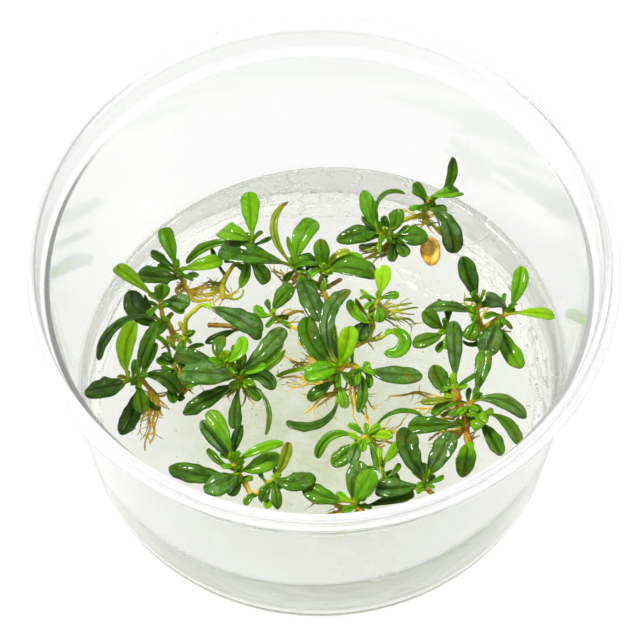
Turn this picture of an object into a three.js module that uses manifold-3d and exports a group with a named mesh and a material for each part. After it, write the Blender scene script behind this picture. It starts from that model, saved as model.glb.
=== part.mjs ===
// A small clear tub of bucephalandra from tissue culture: a slanted layer of gel, and on it a crowd of
// plantlets, each a branching stem with roots and leaves, and one loose withered leaf.
// Millimetres, +Z up. The origin is the centre of the tub's foot, on the surface that it stands on.

import * as THREE from "three";
import { mergeVertices } from "three/addons/utils/BufferGeometryUtils.js";
import Module from "manifold-3d";

// Driving dimensions
const RIM_RADIUS = 50;
const TUB_HEIGHT = 54.7;
const FOOT_RADIUS = 41.4;
const FOOT_WIDTH = 0.9;
const FLOOR_TOP = 3;
const FLOOR_THICKNESS = 0.8;
const WALL_FOOT_RADIUS = 42.3;
const WALL_TAPER = 0.081; // outside wall, radius gained per millimetre of height
const COLLAR_BOTTOM = 48.2;
const COLLAR_RADIUS = 48.1; // the collar steps out from the wall
const COLLAR_TOP = 52.6;
const FLANGE_INSIDE = 48.6; // the rim's flange, and the bead round the mouth inside it
const FLANGE_BOTTOM = 53.5;
const FLANGE_TOP = 54.2;
const BEAD_INSIDE = 47;
const SHOULDER_HEIGHT = 49.3;
const SHOULDER_RADIUS = 45.2;
const EDGE = 0.4; // rounded edges are flats of this width
const INNER_FOOT_RADIUS = 41.9;
const INNER_FOOT_HEIGHT = 5.5;
const FLOOR_RADIUS = 39.5;
const GEL_LEVEL = 17.6; // height of the gel on the tub's axis
const GEL_SLOPE_X = 0.072;
const GEL_SLOPE_Y = -0.033;
const MENISCUS = 0.8;
const MENISCUS_WIDTH = 1.2;
const GAP = 0.3; // between pieces that touch on the real thing
const STEM_RADIUS = 0.6;
const THICK_STEM_RADIUS = 1.1;
const ROOT_RADIUS = 0.2;
const LEAF_THICKNESS = 0.5;
const PETIOLE_SHARE = 0.12; // of a leaf's length
const PETIOLE_WIDTH = 0.8;
const BIG_LEAF = 6.5; // from this length a leaf gets a finer outline

const ROUND_SIDES = 40;
const STEM_SIDES = 5;
const ROOT_SIDES = 3;
const ROOT_STEP = 4;
const SMALLEST_EDGE = 0.15; // joins drop detail finer than this

const LOOKS = {
  tub: { color: 0xf4f6f7, roughness: 0.25, metalness: 0 },
  gel: { color: 0xe3e6dc, roughness: 0.15, metalness: 0 },
  stem: { color: 0x9aa23c, roughness: 0.45, metalness: 0 },
  yellow: { color: 0x8fbe1e, roughness: 0.35, metalness: 0 },
  bright: { color: 0x5eb015, roughness: 0.35, metalness: 0 },
  green: { color: 0x3f7d1c, roughness: 0.35, metalness: 0 },
  dark: { color: 0x2a5420, roughness: 0.3, metalness: 0 },
  silver: { color: 0x62785c, roughness: 0.35, metalness: 0 },
  olive: { color: 0x8c8a3a, roughness: 0.4, metalness: 0 },
  withered: { color: 0xd79a35, roughness: 0.5, metalness: 0 },
};

// These leaves are nodes of their own. The others are one piece with their stem.
const SEPARATE_LEAVES = new Set(`
  a1 a4 b1 b8 c1 c5 c7 d1 e1 e7 f2 f5 f8 f13 g1 g2 g9 h1 h2
  i1 i2 i4 i5 i9 j1 j8 l2 m1 m2 m3 n1 n5 n8 n11 o1 o5 o9 r4
`.trim().split(/\s+/));

// Each plantlet has shoots and roots. A shoot is a line of points [x, y, height over the gel], and it bears
// leaves: [name, place along the shoot, heading, rise, length, width, droop, sweep, look]. The heading and the
// rise are the leaf's direction where it starts, in degrees, and the droop and the sweep are how far it turns
// down and round by its tip. A root is [shoot, place, heading, length, sweep].
const PLANTLETS = {
  a: {
    shoots: [
      {
        points: [[-24, 16.5, 0.5], [-25, 18, 2], [-26, 19, 4.5]],
        leaves: [
          ["a1", 1, 120, 80, 8.5, 3, 65, -10, "bright"],
          ["a2", 0.95, 165, 50, 6, 2, 50, -25, "green"],
          ["a3", 0.9, 350, 40, 9, 3, 50, 30, "yellow"],
          ["a4", 0.45, 235, 75, 11.5, 4, 130, -105, "dark"],
        ],
      },
    ],
    roots: [[0, 0, 20, 5, 30], [0, 0, 350, 6, 20], [0, 0, 285, 6, 120], [0, 0.3, 125, 4, 290]],
  },
  b: {
    shoots: [
      {
        points: [[-26.5, 8, 0.5], [-28, 9, 3], [-28.5, 11, 6]],
        leaves: [
          ["b1", 1, 145, 25, 11, 3, 40, -10, "yellow"],
          ["b2", 1, 50, 70, 4.5, 3, -5, 40, "bright"],
          ["b3", 1, 5, 15, 5.5, 3.5, 10, -35, "silver"],
          ["b7", 0.3, 170, 55, 18, 2, 125, 80, "silver"],
          ["b8", 0.25, 190, 10, 10.5, 4, 0, -110, "dark"],
          ["b9", 0.3, 260, 80, 5.5, 3, 100, -45, "green"],
        ],
      },
    ],
    roots: [[0, 0, 325, 4, -65], [0, 0, 245, 4, 5]],
  },
  c: {
    shoots: [
      {
        points: [[-29, -5.5, 0.5], [-30.5, -4, 1.5], [-32, -3, 3], [-33.5, -4, 4]],
        leaves: [
          ["c1", 1, 120, 25, 11, 3.5, -10, -75, "yellow"],
          ["c2", 0.75, 75, 50, 10.5, 2.5, 20, -25, "dark"],
          ["c3", 0.65, 65, 30, 7, 2, 5, -5, "green"],
          ["c4", 0.7, 5, 45, 9, 3, 90, -55, "dark"],
          ["c5", 1, 220, 30, 9, 4.5, 70, -55, "dark"],
          ["c6", 0.7, 275, -5, 7.5, 3, -20, 5, "green"],
          ["c7", 0.65, 265, -20, 11, 3.5, -20, -25, "dark"],
        ],
      },
    ],
    roots: [[0, 0.25, 275, 12, -35], [0, 0.1, 280, 10, -45], [0, 0, 300, 4, -10]],
  },
  d: {
    shoots: [
      {
        points: [[-24, -5, 0.5], [-25, -2.5, 1.5], [-26, -0.5, 3], [-27, 1, 3.5]],
        leaves: [
          ["d5", 0.3, 215, 10, 5, 2, 15, 90, "green"],
        ],
      },
      {
        points: [[-25, -2.5, 1.5], [-24.5, 2, 3], [-24, 4.5, 5], [-25, 6.5, 6.5]],
        leaves: [],
      },
      {
        points: [[-24, 4.5, 5], [-23.5, 6, 8.5], [-22, 7, 9.5], [-21, 8, 9.5]],
        leaves: [
          ["d1", 1, 335, 15, 12.5, 5, 60, 10, "silver"],
        ],
      },
    ],
    roots: [[0, 0.05, 180, 4, -210], [1, 0.1, 280, 5, 110]],
  },
  t: {
    shoots: [
      {
        points: [[-20, 9, 0.5], [-17, 8.5, 1], [-14, 7.5, 1.5]],
        leaves: [
          ["t1", 1, 215, 30, 7.5, 2, 60, -20, "dark"],
        ],
      },
    ],
    roots: [],
  },
  e: {
    shoots: [
      {
        points: [[-13, -5.5, 0.5], [-13.5, -4.5, 2], [-14.5, -3.5, 3.5]],
        leaves: [
          ["e1", 1, 210, 60, 11.5, 5.5, 95, -50, "silver"],
          ["e2", 0.8, 165, 30, 13, 3.5, 55, -15, "dark"],
          ["e7", 1, 15, 60, 13, 3.5, 80, 50, "silver"],
          ["e8", 1, 75, 0, 5, 2, -70, 0, "dark"],
          ["e9", 0.9, 10, 30, 10.5, 2, 35, 55, "bright"],
          ["e10", 0.8, 15, 0, 10, 1.5, -5, 40, "yellow"],
          ["e11", 1, 5, 40, 6, 2.5, 20, -5, "bright"],
          ["e12", 0.8, 25, 35, 7.5, 3, 85, -85, "silver"],
          ["e14", 0.5, 300, 20, 4.5, 2.5, 50, 40, "dark"],
          ["e16", 0.7, 255, -5, 9.5, 2.5, -5, 20, "dark"],
          ["e17", 0.7, 215, 5, 12, 3.5, 35, -15, "dark"],
        ],
      },
      {
        points: [[-14.5, -3.5, 3.5], [-15.5, -3, 4.5], [-16.5, -2, 5.5]],
        leaves: [
          ["e3", 1, 315, 75, 7.5, 2.5, 100, 175, "bright"],
          ["e4", 1, 165, 45, 6, 2.5, 60, -140, "dark"],
          ["e5", 0.9, 100, 75, 3, 2.5, 30, 30, "yellow"],
        ],
      },
    ],
    roots: [[0, 0.55, 190, 5, 10], [0, 0.7, 155, 4, 65]],
  },
  f: {
    shoots: [
      {
        points: [[-13, -23.5, 0.5], [-14, -22.5, 2], [-15, -21.5, 4.5]],
        leaves: [
          ["f1", 0.95, 135, 50, 9.5, 3, 45, -5, "silver"],
          ["f2", 1, 105, 75, 11, 3, 90, 25, "bright"],
          ["f3", 1, 90, 20, 7, 2, -35, -40, "dark"],
          ["f5", 0.35, 200, 20, 13, 4, 40, -55, "dark"],
          ["f6", 0.45, 255, 60, 8.5, 4.5, 95, -80, "silver"],
          ["f7", 0.9, 20, 50, 10, 2, 65, -5, "bright"],
          ["f8", 0.5, 350, 45, 8.5, 4, 70, 65, "green"],
          ["f11", 0.1, 230, 25, 4, 2.5, 40, 5, "dark"],
        ],
      },
      {
        points: [[-13, -23.5, 0.5], [-11.5, -26, 0.5], [-9.5, -25, 1.5], [-7.5, -24, 3]],
        leaves: [
          ["f12", 0.95, 35, 55, 7.5, 2, 20, 50, "olive"],
          ["f13", 1, 260, 70, 11, 4, 135, 210, "dark"],
          ["f14", 0.9, 285, 55, 6.5, 2, 140, -10, "dark"],
          ["f15", 0.8, 265, 60, 5, 2, 165, -45, "dark"],
        ],
      },
    ],
    roots: [],
  },
  g: {
    shoots: [
      {
        points: [[1.5, 13.5, 0.5], [0, 15.5, 2], [-3, 17, 4], [-4.5, 18, 5.5]],
        leaves: [
          ["g1", 0.85, 280, 35, 13.5, 4, 45, 15, "silver"],
          ["g2", 0.95, 190, 50, 16, 5, 90, -45, "dark"],
          ["g3", 1, 170, 55, 14.5, 1.5, 60, -135, "olive"],
          ["g5", 0.95, 90, 90, 11.5, 4, 130, -45, "green"],
          ["g6", 0.85, 0, 140, 7.5, 3, 250, 25, "green"],
        ],
      },
      {
        points: [[0, 15.5, 2], [0.5, 16.5, 4], [1, 17, 5]],
        leaves: [
          ["g8", 0.9, 105, 75, 7, 3, 30, -5, "green"],
          ["g9", 0.9, 355, 50, 10.5, 4.5, 85, -10, "dark"],
          ["g10", 0.85, 55, 25, 8, 2.5, 40, -75, "bright"],
        ],
      },
      {
        points: [[0.5, 15, 1.5], [2, 16, 1.5], [4, 17, 2]],
        leaves: [],
      },
    ],
    roots: [[0, 0.75, 185, 7, -65], [0, 0.85, 150, 6, -5]],
  },
  h: {
    shoots: [
      {
        points: [[-17.5, 14.5, 0.5], [-17.5, 17, 2], [-15.5, 19, 5], [-12, 21.5, 8]],
        leaves: [
          ["h1", 1, 95, 35, 9.5, 3.5, 0, 0, "bright"],
          ["h2", 1, 195, 85, 8.5, 4, 145, -60, "green"],
          ["h5", 0.85, 285, -45, 7, 2, -10, -55, "green"],
          ["h6", 0.85, 310, -15, 7, 3, 35, 0, "green"],
          ["h7", 0.9, 150, 5, 13.5, 2, 55, 65, "green"],
        ],
      },
    ],
    roots: [[0, 0.05, 340, 5, 80], [0, 0.1, 125, 4, 50], [0, 0.35, 160, 4, 35], [0, 0.25, 225, 4, -35]],
  },
  i: {
    shoots: [
      {
        points: [[3, -6.5, 0.5], [3, -4.5, 2], [3.5, -2.5, 3.5]],
        leaves: [
          ["i1", 1, 25, 80, 9, 3.5, 45, 70, "yellow"],
          ["i2", 1, 215, 50, 7.5, 4, 80, -20, "bright"],
          ["i4", 0.95, 165, 30, 12.5, 4, 45, -90, "dark"],
          ["i5", 1, 140, 55, 17, 3, 75, -110, "silver"],
          ["i6", 1, 120, 45, 5.5, 2, 20, -5, "dark"],
          ["i11", 0.5, 295, 10, 5.5, 2, 40, -15, "bright"],
          ["i12", 0.9, 320, -5, 4.5, 2.5, 5, 5, "dark"],
          ["i13", 0.15, 285, 0, 14, 2, 0, -140, "dark"],
          ["i14", 0.5, 220, 30, 6.5, 2.5, 75, -15, "dark"],
        ],
      },
      {
        points: [[3.5, -2.5, 3.5], [5.5, -2.5, 4], [7.5, -3.5, 4]],
        leaves: [
          ["i8", 0.7, 305, -15, 8.5, 2, 10, -65, "dark"],
          ["i9", 1, 335, 20, 11, 4, 35, 35, "silver"],
        ],
      },
    ],
    roots: [
      [0, 0.05, 185, 7, 35], [0, 0.9, 140, 11, -10], [0, 0.85, 110, 10, 95], [0, 0.8, 155, 12, -5],
      [1, 0.6, 265, 12, 40], [0, 0.7, 170, 11, -20],
    ],
  },
  j: {
    shoots: [
      {
        points: [[6.5, 3.5, 0.5], [8.5, 4.5, 1], [9.5, 6.5, 2], [9, 8, 4], [10.5, 9.5, 6.5]],
        leaves: [
          ["j1", 1, 70, 60, 6.5, 3, 40, 15, "yellow"],
          ["j2", 1, 15, 40, 4, 2, 40, -30, "green"],
          ["j4", 0.9, 295, 5, 3.5, 2.5, 50, -20, "green"],
          ["j5", 0.65, 240, -10, 5, 3.5, 15, 5, "dark"],
          ["j6", 0.5, 220, 60, 7.5, 2, 55, -135, "bright"],
        ],
      },
      {
        points: [[8.5, 4.5, 1], [10, 4.5, 1], [11.5, 4.5, 2]],
        leaves: [
          ["j8", 1, 55, 5, 10, 2, 20, -280, "bright"],
        ],
      },
    ],
    roots: [[0, 0.95, 40, 8, -35], [0, 0.9, 30, 8, -60], [0, 0.9, 60, 8, -45]],
  },
  k: {
    shoots: [
      {
        points: [[9.5, -14, 0.5], [8.5, -16, 2.5], [7, -18, 4.5]],
        leaves: [
          ["k1", 1, 140, 20, 10.5, 2, 90, 115, "green"],
          ["k2", 1, 250, 25, 5, 2.5, 50, 0, "silver"],
          ["k3", 0.7, 305, 35, 7, 2, 75, -25, "green"],
          ["k5", 1, 220, -25, 6.5, 3.5, -5, -10, "green"],
          ["k6", 0, 50, 60, 10.5, 1, 85, -75, "green"],
        ],
      },
    ],
    roots: [[0, 0, 350, 6, 15], [0, 0, 320, 5, 45], [0, 0.2, 260, 4, 150]],
  },
  l: {
    shoots: [
      {
        points: [[7.5, -30, 0.5], [6.5, -29.5, 1.5], [5.5, -29, 3]],
        leaves: [
          ["l1", 0.8, 20, 80, 8, 4, 55, 45, "bright"],
          ["l2", 1, 185, 10, 9, 3.5, 20, -50, "green"],
          ["l3", 0.9, 95, 50, 4.5, 2, 35, -10, "dark"],
          ["l4", 0.5, 95, 40, 8, 4, 25, -20, "silver"],
          ["l5", 0.3, 20, 0, 10, 2.5, 0, -5, "dark"],
        ],
      },
    ],
    roots: [[0, 0.6, 195, 11, -30], [0, 0.6, 180, 7, 40]],
  },
  m: {
    shoots: [
      {
        points: [[19.5, -27, 0.5], [18.5, -26.5, 2], [18, -26, 4]],
        leaves: [
          ["m1", 1, 175, 85, 12, 4, 125, -115, "dark"],
          ["m2", 0.8, 210, 25, 9, 4, 45, -45, "silver"],
          ["m3", 1, 50, 45, 9.5, 4, 35, 10, "silver"],
        ],
      },
      {
        points: [[18.5, -26.5, 2], [14, -26, 2], [11.5, -25.5, 3.5], [10.5, -23.5, 5.5]],
        leaves: [
          ["m5", 0.4, 150, 35, 4, 2.5, 45, -20, "green"],
          ["m6", 1, 40, 25, 5.5, 2, -40, 0, "yellow"],
        ],
      },
    ],
    roots: [],
  },
  n: {
    radius: THICK_STEM_RADIUS,
    shoots: [
      {
        points: [[26, -17.5, 0.5], [25.5, -15, 2], [25, -13, 4.5], [24, -11.5, 6], [23.5, -9.5, 7.5]],
        leaves: [
          ["n1", 1, 90, 35, 11.5, 3, -5, 5, "silver"],
          ["n2", 0.8, 145, -5, 7.5, 3.5, -55, -35, "dark"],
          ["n3", 0.8, 180, -10, 6.5, 1.5, 5, 0, "olive"],
          ["n4", 0.75, 175, -20, 5.5, 2, 20, 40, "green"],
          ["n5", 0.35, 200, 25, 10.5, 3.5, 55, -35, "dark"],
          ["n15", 0.1, 270, 5, 8, 3.5, 5, -20, "green"],
        ],
      },
      {
        points: [[25, -13.5, 4], [26.5, -11.5, 5.5]],
        leaves: [
          ["n8", 1, 65, 25, 9.5, 3, 15, 20, "green"],
          ["n11", 1, 5, 40, 11, 3, 90, -45, "silver"],
        ],
      },
      {
        points: [[25.5, -14.5, 2.5], [27.5, -13.5, 3.5], [28.5, -13, 4]],
        leaves: [
          ["n12", 1, 350, 10, 9, 2.5, 45, -65, "dark"],
          ["n13", 0.6, 310, -10, 8, 3, 5, -15, "dark"],
          ["n14", 0.2, 340, 85, 4.5, 4, 90, -15, "bright"],
        ],
      },
    ],
    roots: [
      [0, 0.85, 125, 13, 95], [0, 0.3, 170, 7, 40], [0, 0.6, 145, 5, 75], [0, 0.25, 185, 7, 40],
      [0, 0.7, 115, 6, 80],
    ],
  },
  o: {
    shoots: [
      {
        points: [[28, 5.5, 0.5], [29.5, 6, 1.5], [31.5, 6.5, 3], [33.5, 7, 4.5]],
        leaves: [
          ["o1", 1, 50, 55, 9, 3, 50, 40, "bright"],
          ["o2", 1, 135, 60, 5.5, 3.5, 60, 45, "silver"],
          ["o3", 0.95, 350, 30, 9, 2.5, 65, 15, "yellow"],
          ["o9", 0.7, 255, 20, 8.5, 4.5, 40, -10, "silver"],
          ["o10", 0.6, 295, -30, 10.5, 3.5, -50, 0, "green"],
        ],
      },
      {
        points: [[29, 6, 1.5], [28, 7.5, 4], [28.5, 8.5, 6]],
        leaves: [
          ["o5", 1, 130, 40, 9, 3.5, 0, -25, "dark"],
          ["o6", 0.9, 180, 50, 4.5, 2, -45, -20, "green"],
          ["o11", 0.3, 245, 40, 5, 3, 85, 0, "green"],
          ["o12", 0.5, 185, 55, 11, 2.5, 115, -25, "silver"],
        ],
      },
      {
        points: [[28, 5.5, 0.5], [25.5, 5, 0.5], [23.5, 4, 2], [22.5, 4.5, 3]],
        leaves: [
          ["o14", 1, 165, 45, 6, 3.5, 10, -15, "dark"],
          ["o15", 1, 230, 25, 7, 3, 65, -65, "dark"],
        ],
      },
    ],
    roots: [[0, 0.1, 110, 10, -10], [0, 0.4, 325, 4, 75]],
  },
  q: {
    shoots: [
      {
        points: [[14, 24.5, 0.5], [14, 25, 2], [13, 25, 4]],
        leaves: [
          ["q3", 0.9, 180, 25, 10.5, 4, 55, 10, "dark"],
          ["q7", 1, 20, 85, 5.5, 3, 70, 85, "green"],
          ["q8", 0.9, 325, 45, 7, 4.5, 65, 60, "dark"],
          ["q9", 0.7, 305, 0, 4.5, 2.5, 15, -10, "dark"],
          ["q10", 0.6, 270, -20, 4.5, 2, 0, -20, "green"],
        ],
      },
      {
        points: [[13, 25, 4], [12, 24.5, 4.5], [11, 24.5, 5.5]],
        leaves: [
          ["q1", 1, 130, 45, 8.5, 3, 15, -25, "bright"],
          ["q2", 0.4, 185, 70, 13.5, 1, 80, -220, "dark"],
          ["q4", 1, 170, -10, 3.5, 2, -40, 70, "green"],
          ["q5", 0.5, 240, -30, 6, 2, -5, -110, "olive"],
        ],
      },
    ],
    roots: [[0, 0.5, 220, 7, -40], [0, 0.7, 210, 8, -35], [0, 0.25, 180, 4, -15]],
  },
  r: {
    shoots: [
      {
        points: [[20.5, 29, 0.5], [19, 30, 2], [19.5, 30.5, 4], [20, 31, 6]],
        leaves: [
          ["r1", 1, 150, 40, 4.5, 2.5, -5, 5, "green"],
          ["r2", 1, 320, 85, 8, 3, 145, 85, "bright"],
          ["r3", 1, 345, 35, 11.5, 2, -45, 135, "dark"],
          ["r4", 0.6, 325, 60, 13, 4, 140, -50, "silver"],
        ],
      },
      {
        points: [[19.2, 30, 2.4], [17, 30, 2], [15, 29, 2]],
        leaves: [],
      },
    ],
    roots: [[0, 0.3, 105, 5, 85], [0, 0.5, 35, 4, -5]],
  },
  s: {
    shoots: [
      {
        points: [[-6.5, 9, 0.5], [-7.5, 9.5, 1], [-8.5, 10, 2]],
        leaves: [
          ["s1", 1, 45, 70, 7, 3.5, 50, -15, "dark"],
          ["s2", 1, 220, 10, 4, 2, -5, -135, "bright"],
        ],
      },
    ],
    roots: [[0, 0, 330, 5, 0], [0, 0.15, 75, 5, -80]],
  },
};

// The loose leaf: [x, y, height over the gel] where it starts, then heading, rise, length, width, droop, sweep.
const WITHERED_LEAF = { start: [20.2, 26.6, 0.9], shape: [268, 15, 6.6, 3.8, 35, 8] };

const wasm = await Module();
wasm.setup();

const radians = THREE.MathUtils.degToRad;

function gelHeight(x, y) {
  return GEL_LEVEL + GEL_SLOPE_X * x + GEL_SLOPE_Y * y;
}

function innerWallRadius(height) {
  const share = (height - INNER_FOOT_HEIGHT) / (SHOULDER_HEIGHT - INNER_FOOT_HEIGHT);
  return THREE.MathUtils.lerp(INNER_FOOT_RADIUS, SHOULDER_RADIUS, share);
}

function onGel([x, y, height], radius) {
  return new THREE.Vector3(x, y, gelHeight(x, y) + Math.max(height, radius + GAP));
}

// A closed body through rings with the same number of points, each listed anticlockwise round the direction of
// travel, with a single point before the first ring and after the last.
function closedBody(startPoint, rings, endPoint) {
  const sides = rings[0].length;
  const points = [startPoint, ...rings.flat(), endPoint];
  const end = points.length - 1;
  const triangles = [];
  for (let side = 0; side < sides; side++) {
    const next = (side + 1) % sides;
    triangles.push(0, 1 + next, 1 + side);
    for (let ring = 0; ring < rings.length - 1; ring++) {
      const here = 1 + ring * sides;
      const after = here + sides;
      triangles.push(here + side, here + next, after + next);
      triangles.push(here + side, after + next, after + side);
    }
    const last = 1 + (rings.length - 1) * sides;
    triangles.push(end, last + side, last + next);
  }
  const geometry = new THREE.BufferGeometry().setFromPoints(points);
  geometry.setIndex(triangles);
  return geometry;
}

function circle(centre, across, up, radius, sides) {
  return Array.from({ length: sides }, (_, side) => {
    const angle = (2 * Math.PI * side) / sides;
    return centre.clone()
      .addScaledVector(across, radius * Math.cos(angle))
      .addScaledVector(up, radius * Math.sin(angle));
  });
}

// A thin round body along points, that narrows from one radius to the other. Its rings don't twist: the
// direction across is carried from ring to ring.
function tube(points, startRadius, endRadius, sides) {
  const last = points.length - 1;
  let across = new THREE.Vector3(0.3, -0.2, 0.93);
  const rings = points.map((point, index) => {
    const before = points[Math.max(index - 1, 0)];
    const after = points[Math.min(index + 1, last)];
    const along = after.clone().sub(before).normalize();
    across = across.clone().addScaledVector(along, -across.dot(along)).normalize();
    const up = along.clone().cross(across);
    const radius = THREE.MathUtils.lerp(startRadius, endRadius, index / last);
    return circle(point, across, up, radius, sides);
  });
  const start = points[0].clone().lerp(points[1], -0.1);
  const end = points[last].clone().lerp(points[last - 1], -0.1);
  return closedBody(start, rings, end);
}

function shootCurve(shoot, radius) {
  return new THREE.CatmullRomCurve3(shoot.points.map((point) => onGel(point, radius)), false, "centripetal");
}

function placeOnShoot(shoot, share, radius) {
  return shootCurve(shoot, radius).getPointAt(share);
}

// The midrib of a leaf: a line whose heading and rise turn evenly from its start to its tip.
function midrib(start, [heading, rise, length, , droop, sweep]) {
  const steps = 24;
  const points = [start.clone()];
  const directionAt = (share) => {
    const turn = radians(heading + sweep * share);
    const climb = radians(rise - droop * share);
    return new THREE.Vector3(
      Math.cos(climb) * Math.cos(turn), Math.cos(climb) * Math.sin(turn), Math.sin(climb));
  };
  for (let step = 0; step < steps; step++) {
    points.push(points[step].clone().addScaledVector(directionAt((step + 0.5) / steps), length / steps));
  }
  return {
    at: (share) => points[Math.round(share * steps)],
    along: directionAt,
    across: (share) => {
      const turn = radians(heading + sweep * share);
      return new THREE.Vector3(Math.sin(turn), -Math.cos(turn), 0);
    },
  };
}

// The share of its full width that a leaf has at a share of its length, widest past the middle.
function bladeShare(share) {
  const t = Math.max(share - PETIOLE_SHARE, 0) / (1 - PETIOLE_SHARE);
  const widest = 0.64;
  const shape = (u) => Math.pow(u, 0.8) * Math.pow(1 - u, 0.45);
  return shape(t) / shape(widest);
}

function leafBody(start, shape, firstShare) {
  const [, , length, width] = shape;
  const line = midrib(start, shape);
  const rows = length >= BIG_LEAF ? [0.34, 0.62, 0.88] : [0.45, 0.85];
  const shares = [Math.max(PETIOLE_SHARE, firstShare + 0.04), ...rows];
  const rings = shares.map((share, row) => {
    const half = row === 0 ? PETIOLE_WIDTH / 2 : Math.max((width / 2) * bladeShare(share), PETIOLE_WIDTH / 2);
    const across = line.across(share);
    const up = across.clone().cross(line.along(share));
    const thick = LEAF_THICKNESS / 2;
    const at = line.at(share);
    return [
      at.clone().addScaledVector(up, thick),
      at.clone().addScaledVector(across, half),
      at.clone().addScaledVector(up, -thick),
      at.clone().addScaledVector(across, -half),
    ];
  });
  return closedBody(line.at(firstShare).clone(), rings, line.at(1));
}

// A root leaves its stem, comes down to the gel within its first third, and turns evenly over it.
function rootBody(start, [, , heading, length, sweep]) {
  const steps = Math.max(3, Math.round(length / ROOT_STEP) + 1);
  const points = [start.clone()];
  const rest = ROOT_RADIUS + GAP;
  for (let step = 1; step <= steps; step++) {
    const share = step / steps;
    const turn = radians(heading + sweep * (share - 0.5 / steps));
    const before = points[step - 1];
    const x = before.x + (Math.cos(turn) * length) / steps;
    const y = before.y + (Math.sin(turn) * length) / steps;
    const startHeight = start.z - gelHeight(start.x, start.y);
    const height = THREE.MathUtils.lerp(startHeight, rest, Math.min(share * 3, 1));
    points.push(new THREE.Vector3(x, y, gelHeight(x, y) + height));
  }
  return tube(points, ROOT_RADIUS, ROOT_RADIUS * 0.8, ROOT_SIDES);
}

function solidOf(geometry) {
  const merged = geometry.clone();
  merged.deleteAttribute("normal");
  merged.deleteAttribute("uv");
  const welded = mergeVertices(merged, 1e-4);
  return new wasm.Manifold(new wasm.Mesh({
    numProp: 3,
    vertProperties: Float32Array.from(welded.attributes.position.array),
    triVerts: Uint32Array.from(welded.index.array),
  }));
}

function joined(geometries) {
  const solid = geometries.map(solidOf).reduce((whole, piece) => whole.add(piece));
  const mesh = solid.simplify(SMALLEST_EDGE).getMesh();
  const geometry = new THREE.BufferGeometry();
  geometry.setAttribute("position", new THREE.BufferAttribute(Float32Array.from(mesh.vertProperties), 3));
  geometry.setIndex(new THREE.BufferAttribute(Uint32Array.from(mesh.triVerts), 1));
  return geometry;
}

function addMesh(group, name, geometry, look) {
  geometry.computeVertexNormals();
  const mesh = new THREE.Mesh(geometry, new THREE.MeshStandardMaterial(LOOKS[look]));
  mesh.name = name;
  group.add(mesh);
}

// The tub's section, from the axis under the floor, round the foot, up the outside, over the rim, down the
// inside and back to the axis on the floor.
function tubGeometry() {
  const footInside = FOOT_RADIUS - FOOT_WIDTH;
  const floorBottom = FLOOR_TOP - FLOOR_THICKNESS;
  const section = [
    [0, floorBottom],
    [footInside - FLOOR_THICKNESS, floorBottom],
    [footInside, floorBottom - FLOOR_THICKNESS],
    [footInside, 0],
    [FOOT_RADIUS, 0],
    [WALL_FOOT_RADIUS, FOOT_WIDTH],
    [WALL_FOOT_RADIUS + WALL_TAPER * COLLAR_BOTTOM, COLLAR_BOTTOM],
    [COLLAR_RADIUS, COLLAR_BOTTOM],
    [FLANGE_INSIDE, COLLAR_TOP],
    [RIM_RADIUS, FLANGE_BOTTOM],
    [RIM_RADIUS, FLANGE_TOP],
    [FLANGE_INSIDE, FLANGE_TOP],
    [FLANGE_INSIDE - EDGE, TUB_HEIGHT],
    [BEAD_INSIDE + EDGE, TUB_HEIGHT],
    [BEAD_INSIDE, TUB_HEIGHT - EDGE],
    [BEAD_INSIDE - EDGE, SHOULDER_HEIGHT + EDGE],
    [SHOULDER_RADIUS, SHOULDER_HEIGHT],
    [INNER_FOOT_RADIUS, INNER_FOOT_HEIGHT],
    [(INNER_FOOT_RADIUS + FLOOR_RADIUS) / 2, (INNER_FOOT_HEIGHT + FLOOR_TOP) / 2 - EDGE],
    [FLOOR_RADIUS, FLOOR_TOP],
    [0, FLOOR_TOP],
  ];
  const profile = section.map(([radius, height]) => new THREE.Vector2(radius, height));
  const geometry = new THREE.LatheGeometry(profile, ROUND_SIDES);
  geometry.rotateX(Math.PI / 2);
  geometry.deleteAttribute("normal");
  geometry.deleteAttribute("uv");
  return mergeVertices(geometry, 1e-4);
}

// The gel fills the tub from its floor to a slanted surface that climbs a little at the wall.
function gelGeometry() {
  const angles = Array.from({ length: ROUND_SIDES }, (_, side) => (2 * Math.PI * side) / ROUND_SIDES);
  const flatRing = (radius, height) => angles.map((angle) =>
    new THREE.Vector3(radius * Math.cos(angle), radius * Math.sin(angle), height));
  const surfaceRing = (inset, lift) => angles.map((angle) => {
    const guess = innerWallRadius(GEL_LEVEL);
    const height = gelHeight(guess * Math.cos(angle), guess * Math.sin(angle)) + lift;
    const radius = innerWallRadius(height) - inset;
    return new THREE.Vector3(radius * Math.cos(angle), radius * Math.sin(angle), height);
  });
  const rings = [
    flatRing(FLOOR_RADIUS - GAP, FLOOR_TOP + GAP),
    flatRing(INNER_FOOT_RADIUS - GAP, INNER_FOOT_HEIGHT),
    surfaceRing(GAP, MENISCUS),
    surfaceRing(GAP + MENISCUS_WIDTH, 0),
  ];
  return closedBody(
    new THREE.Vector3(0, 0, FLOOR_TOP + GAP), rings, new THREE.Vector3(0, 0, gelHeight(0, 0)));
}

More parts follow.
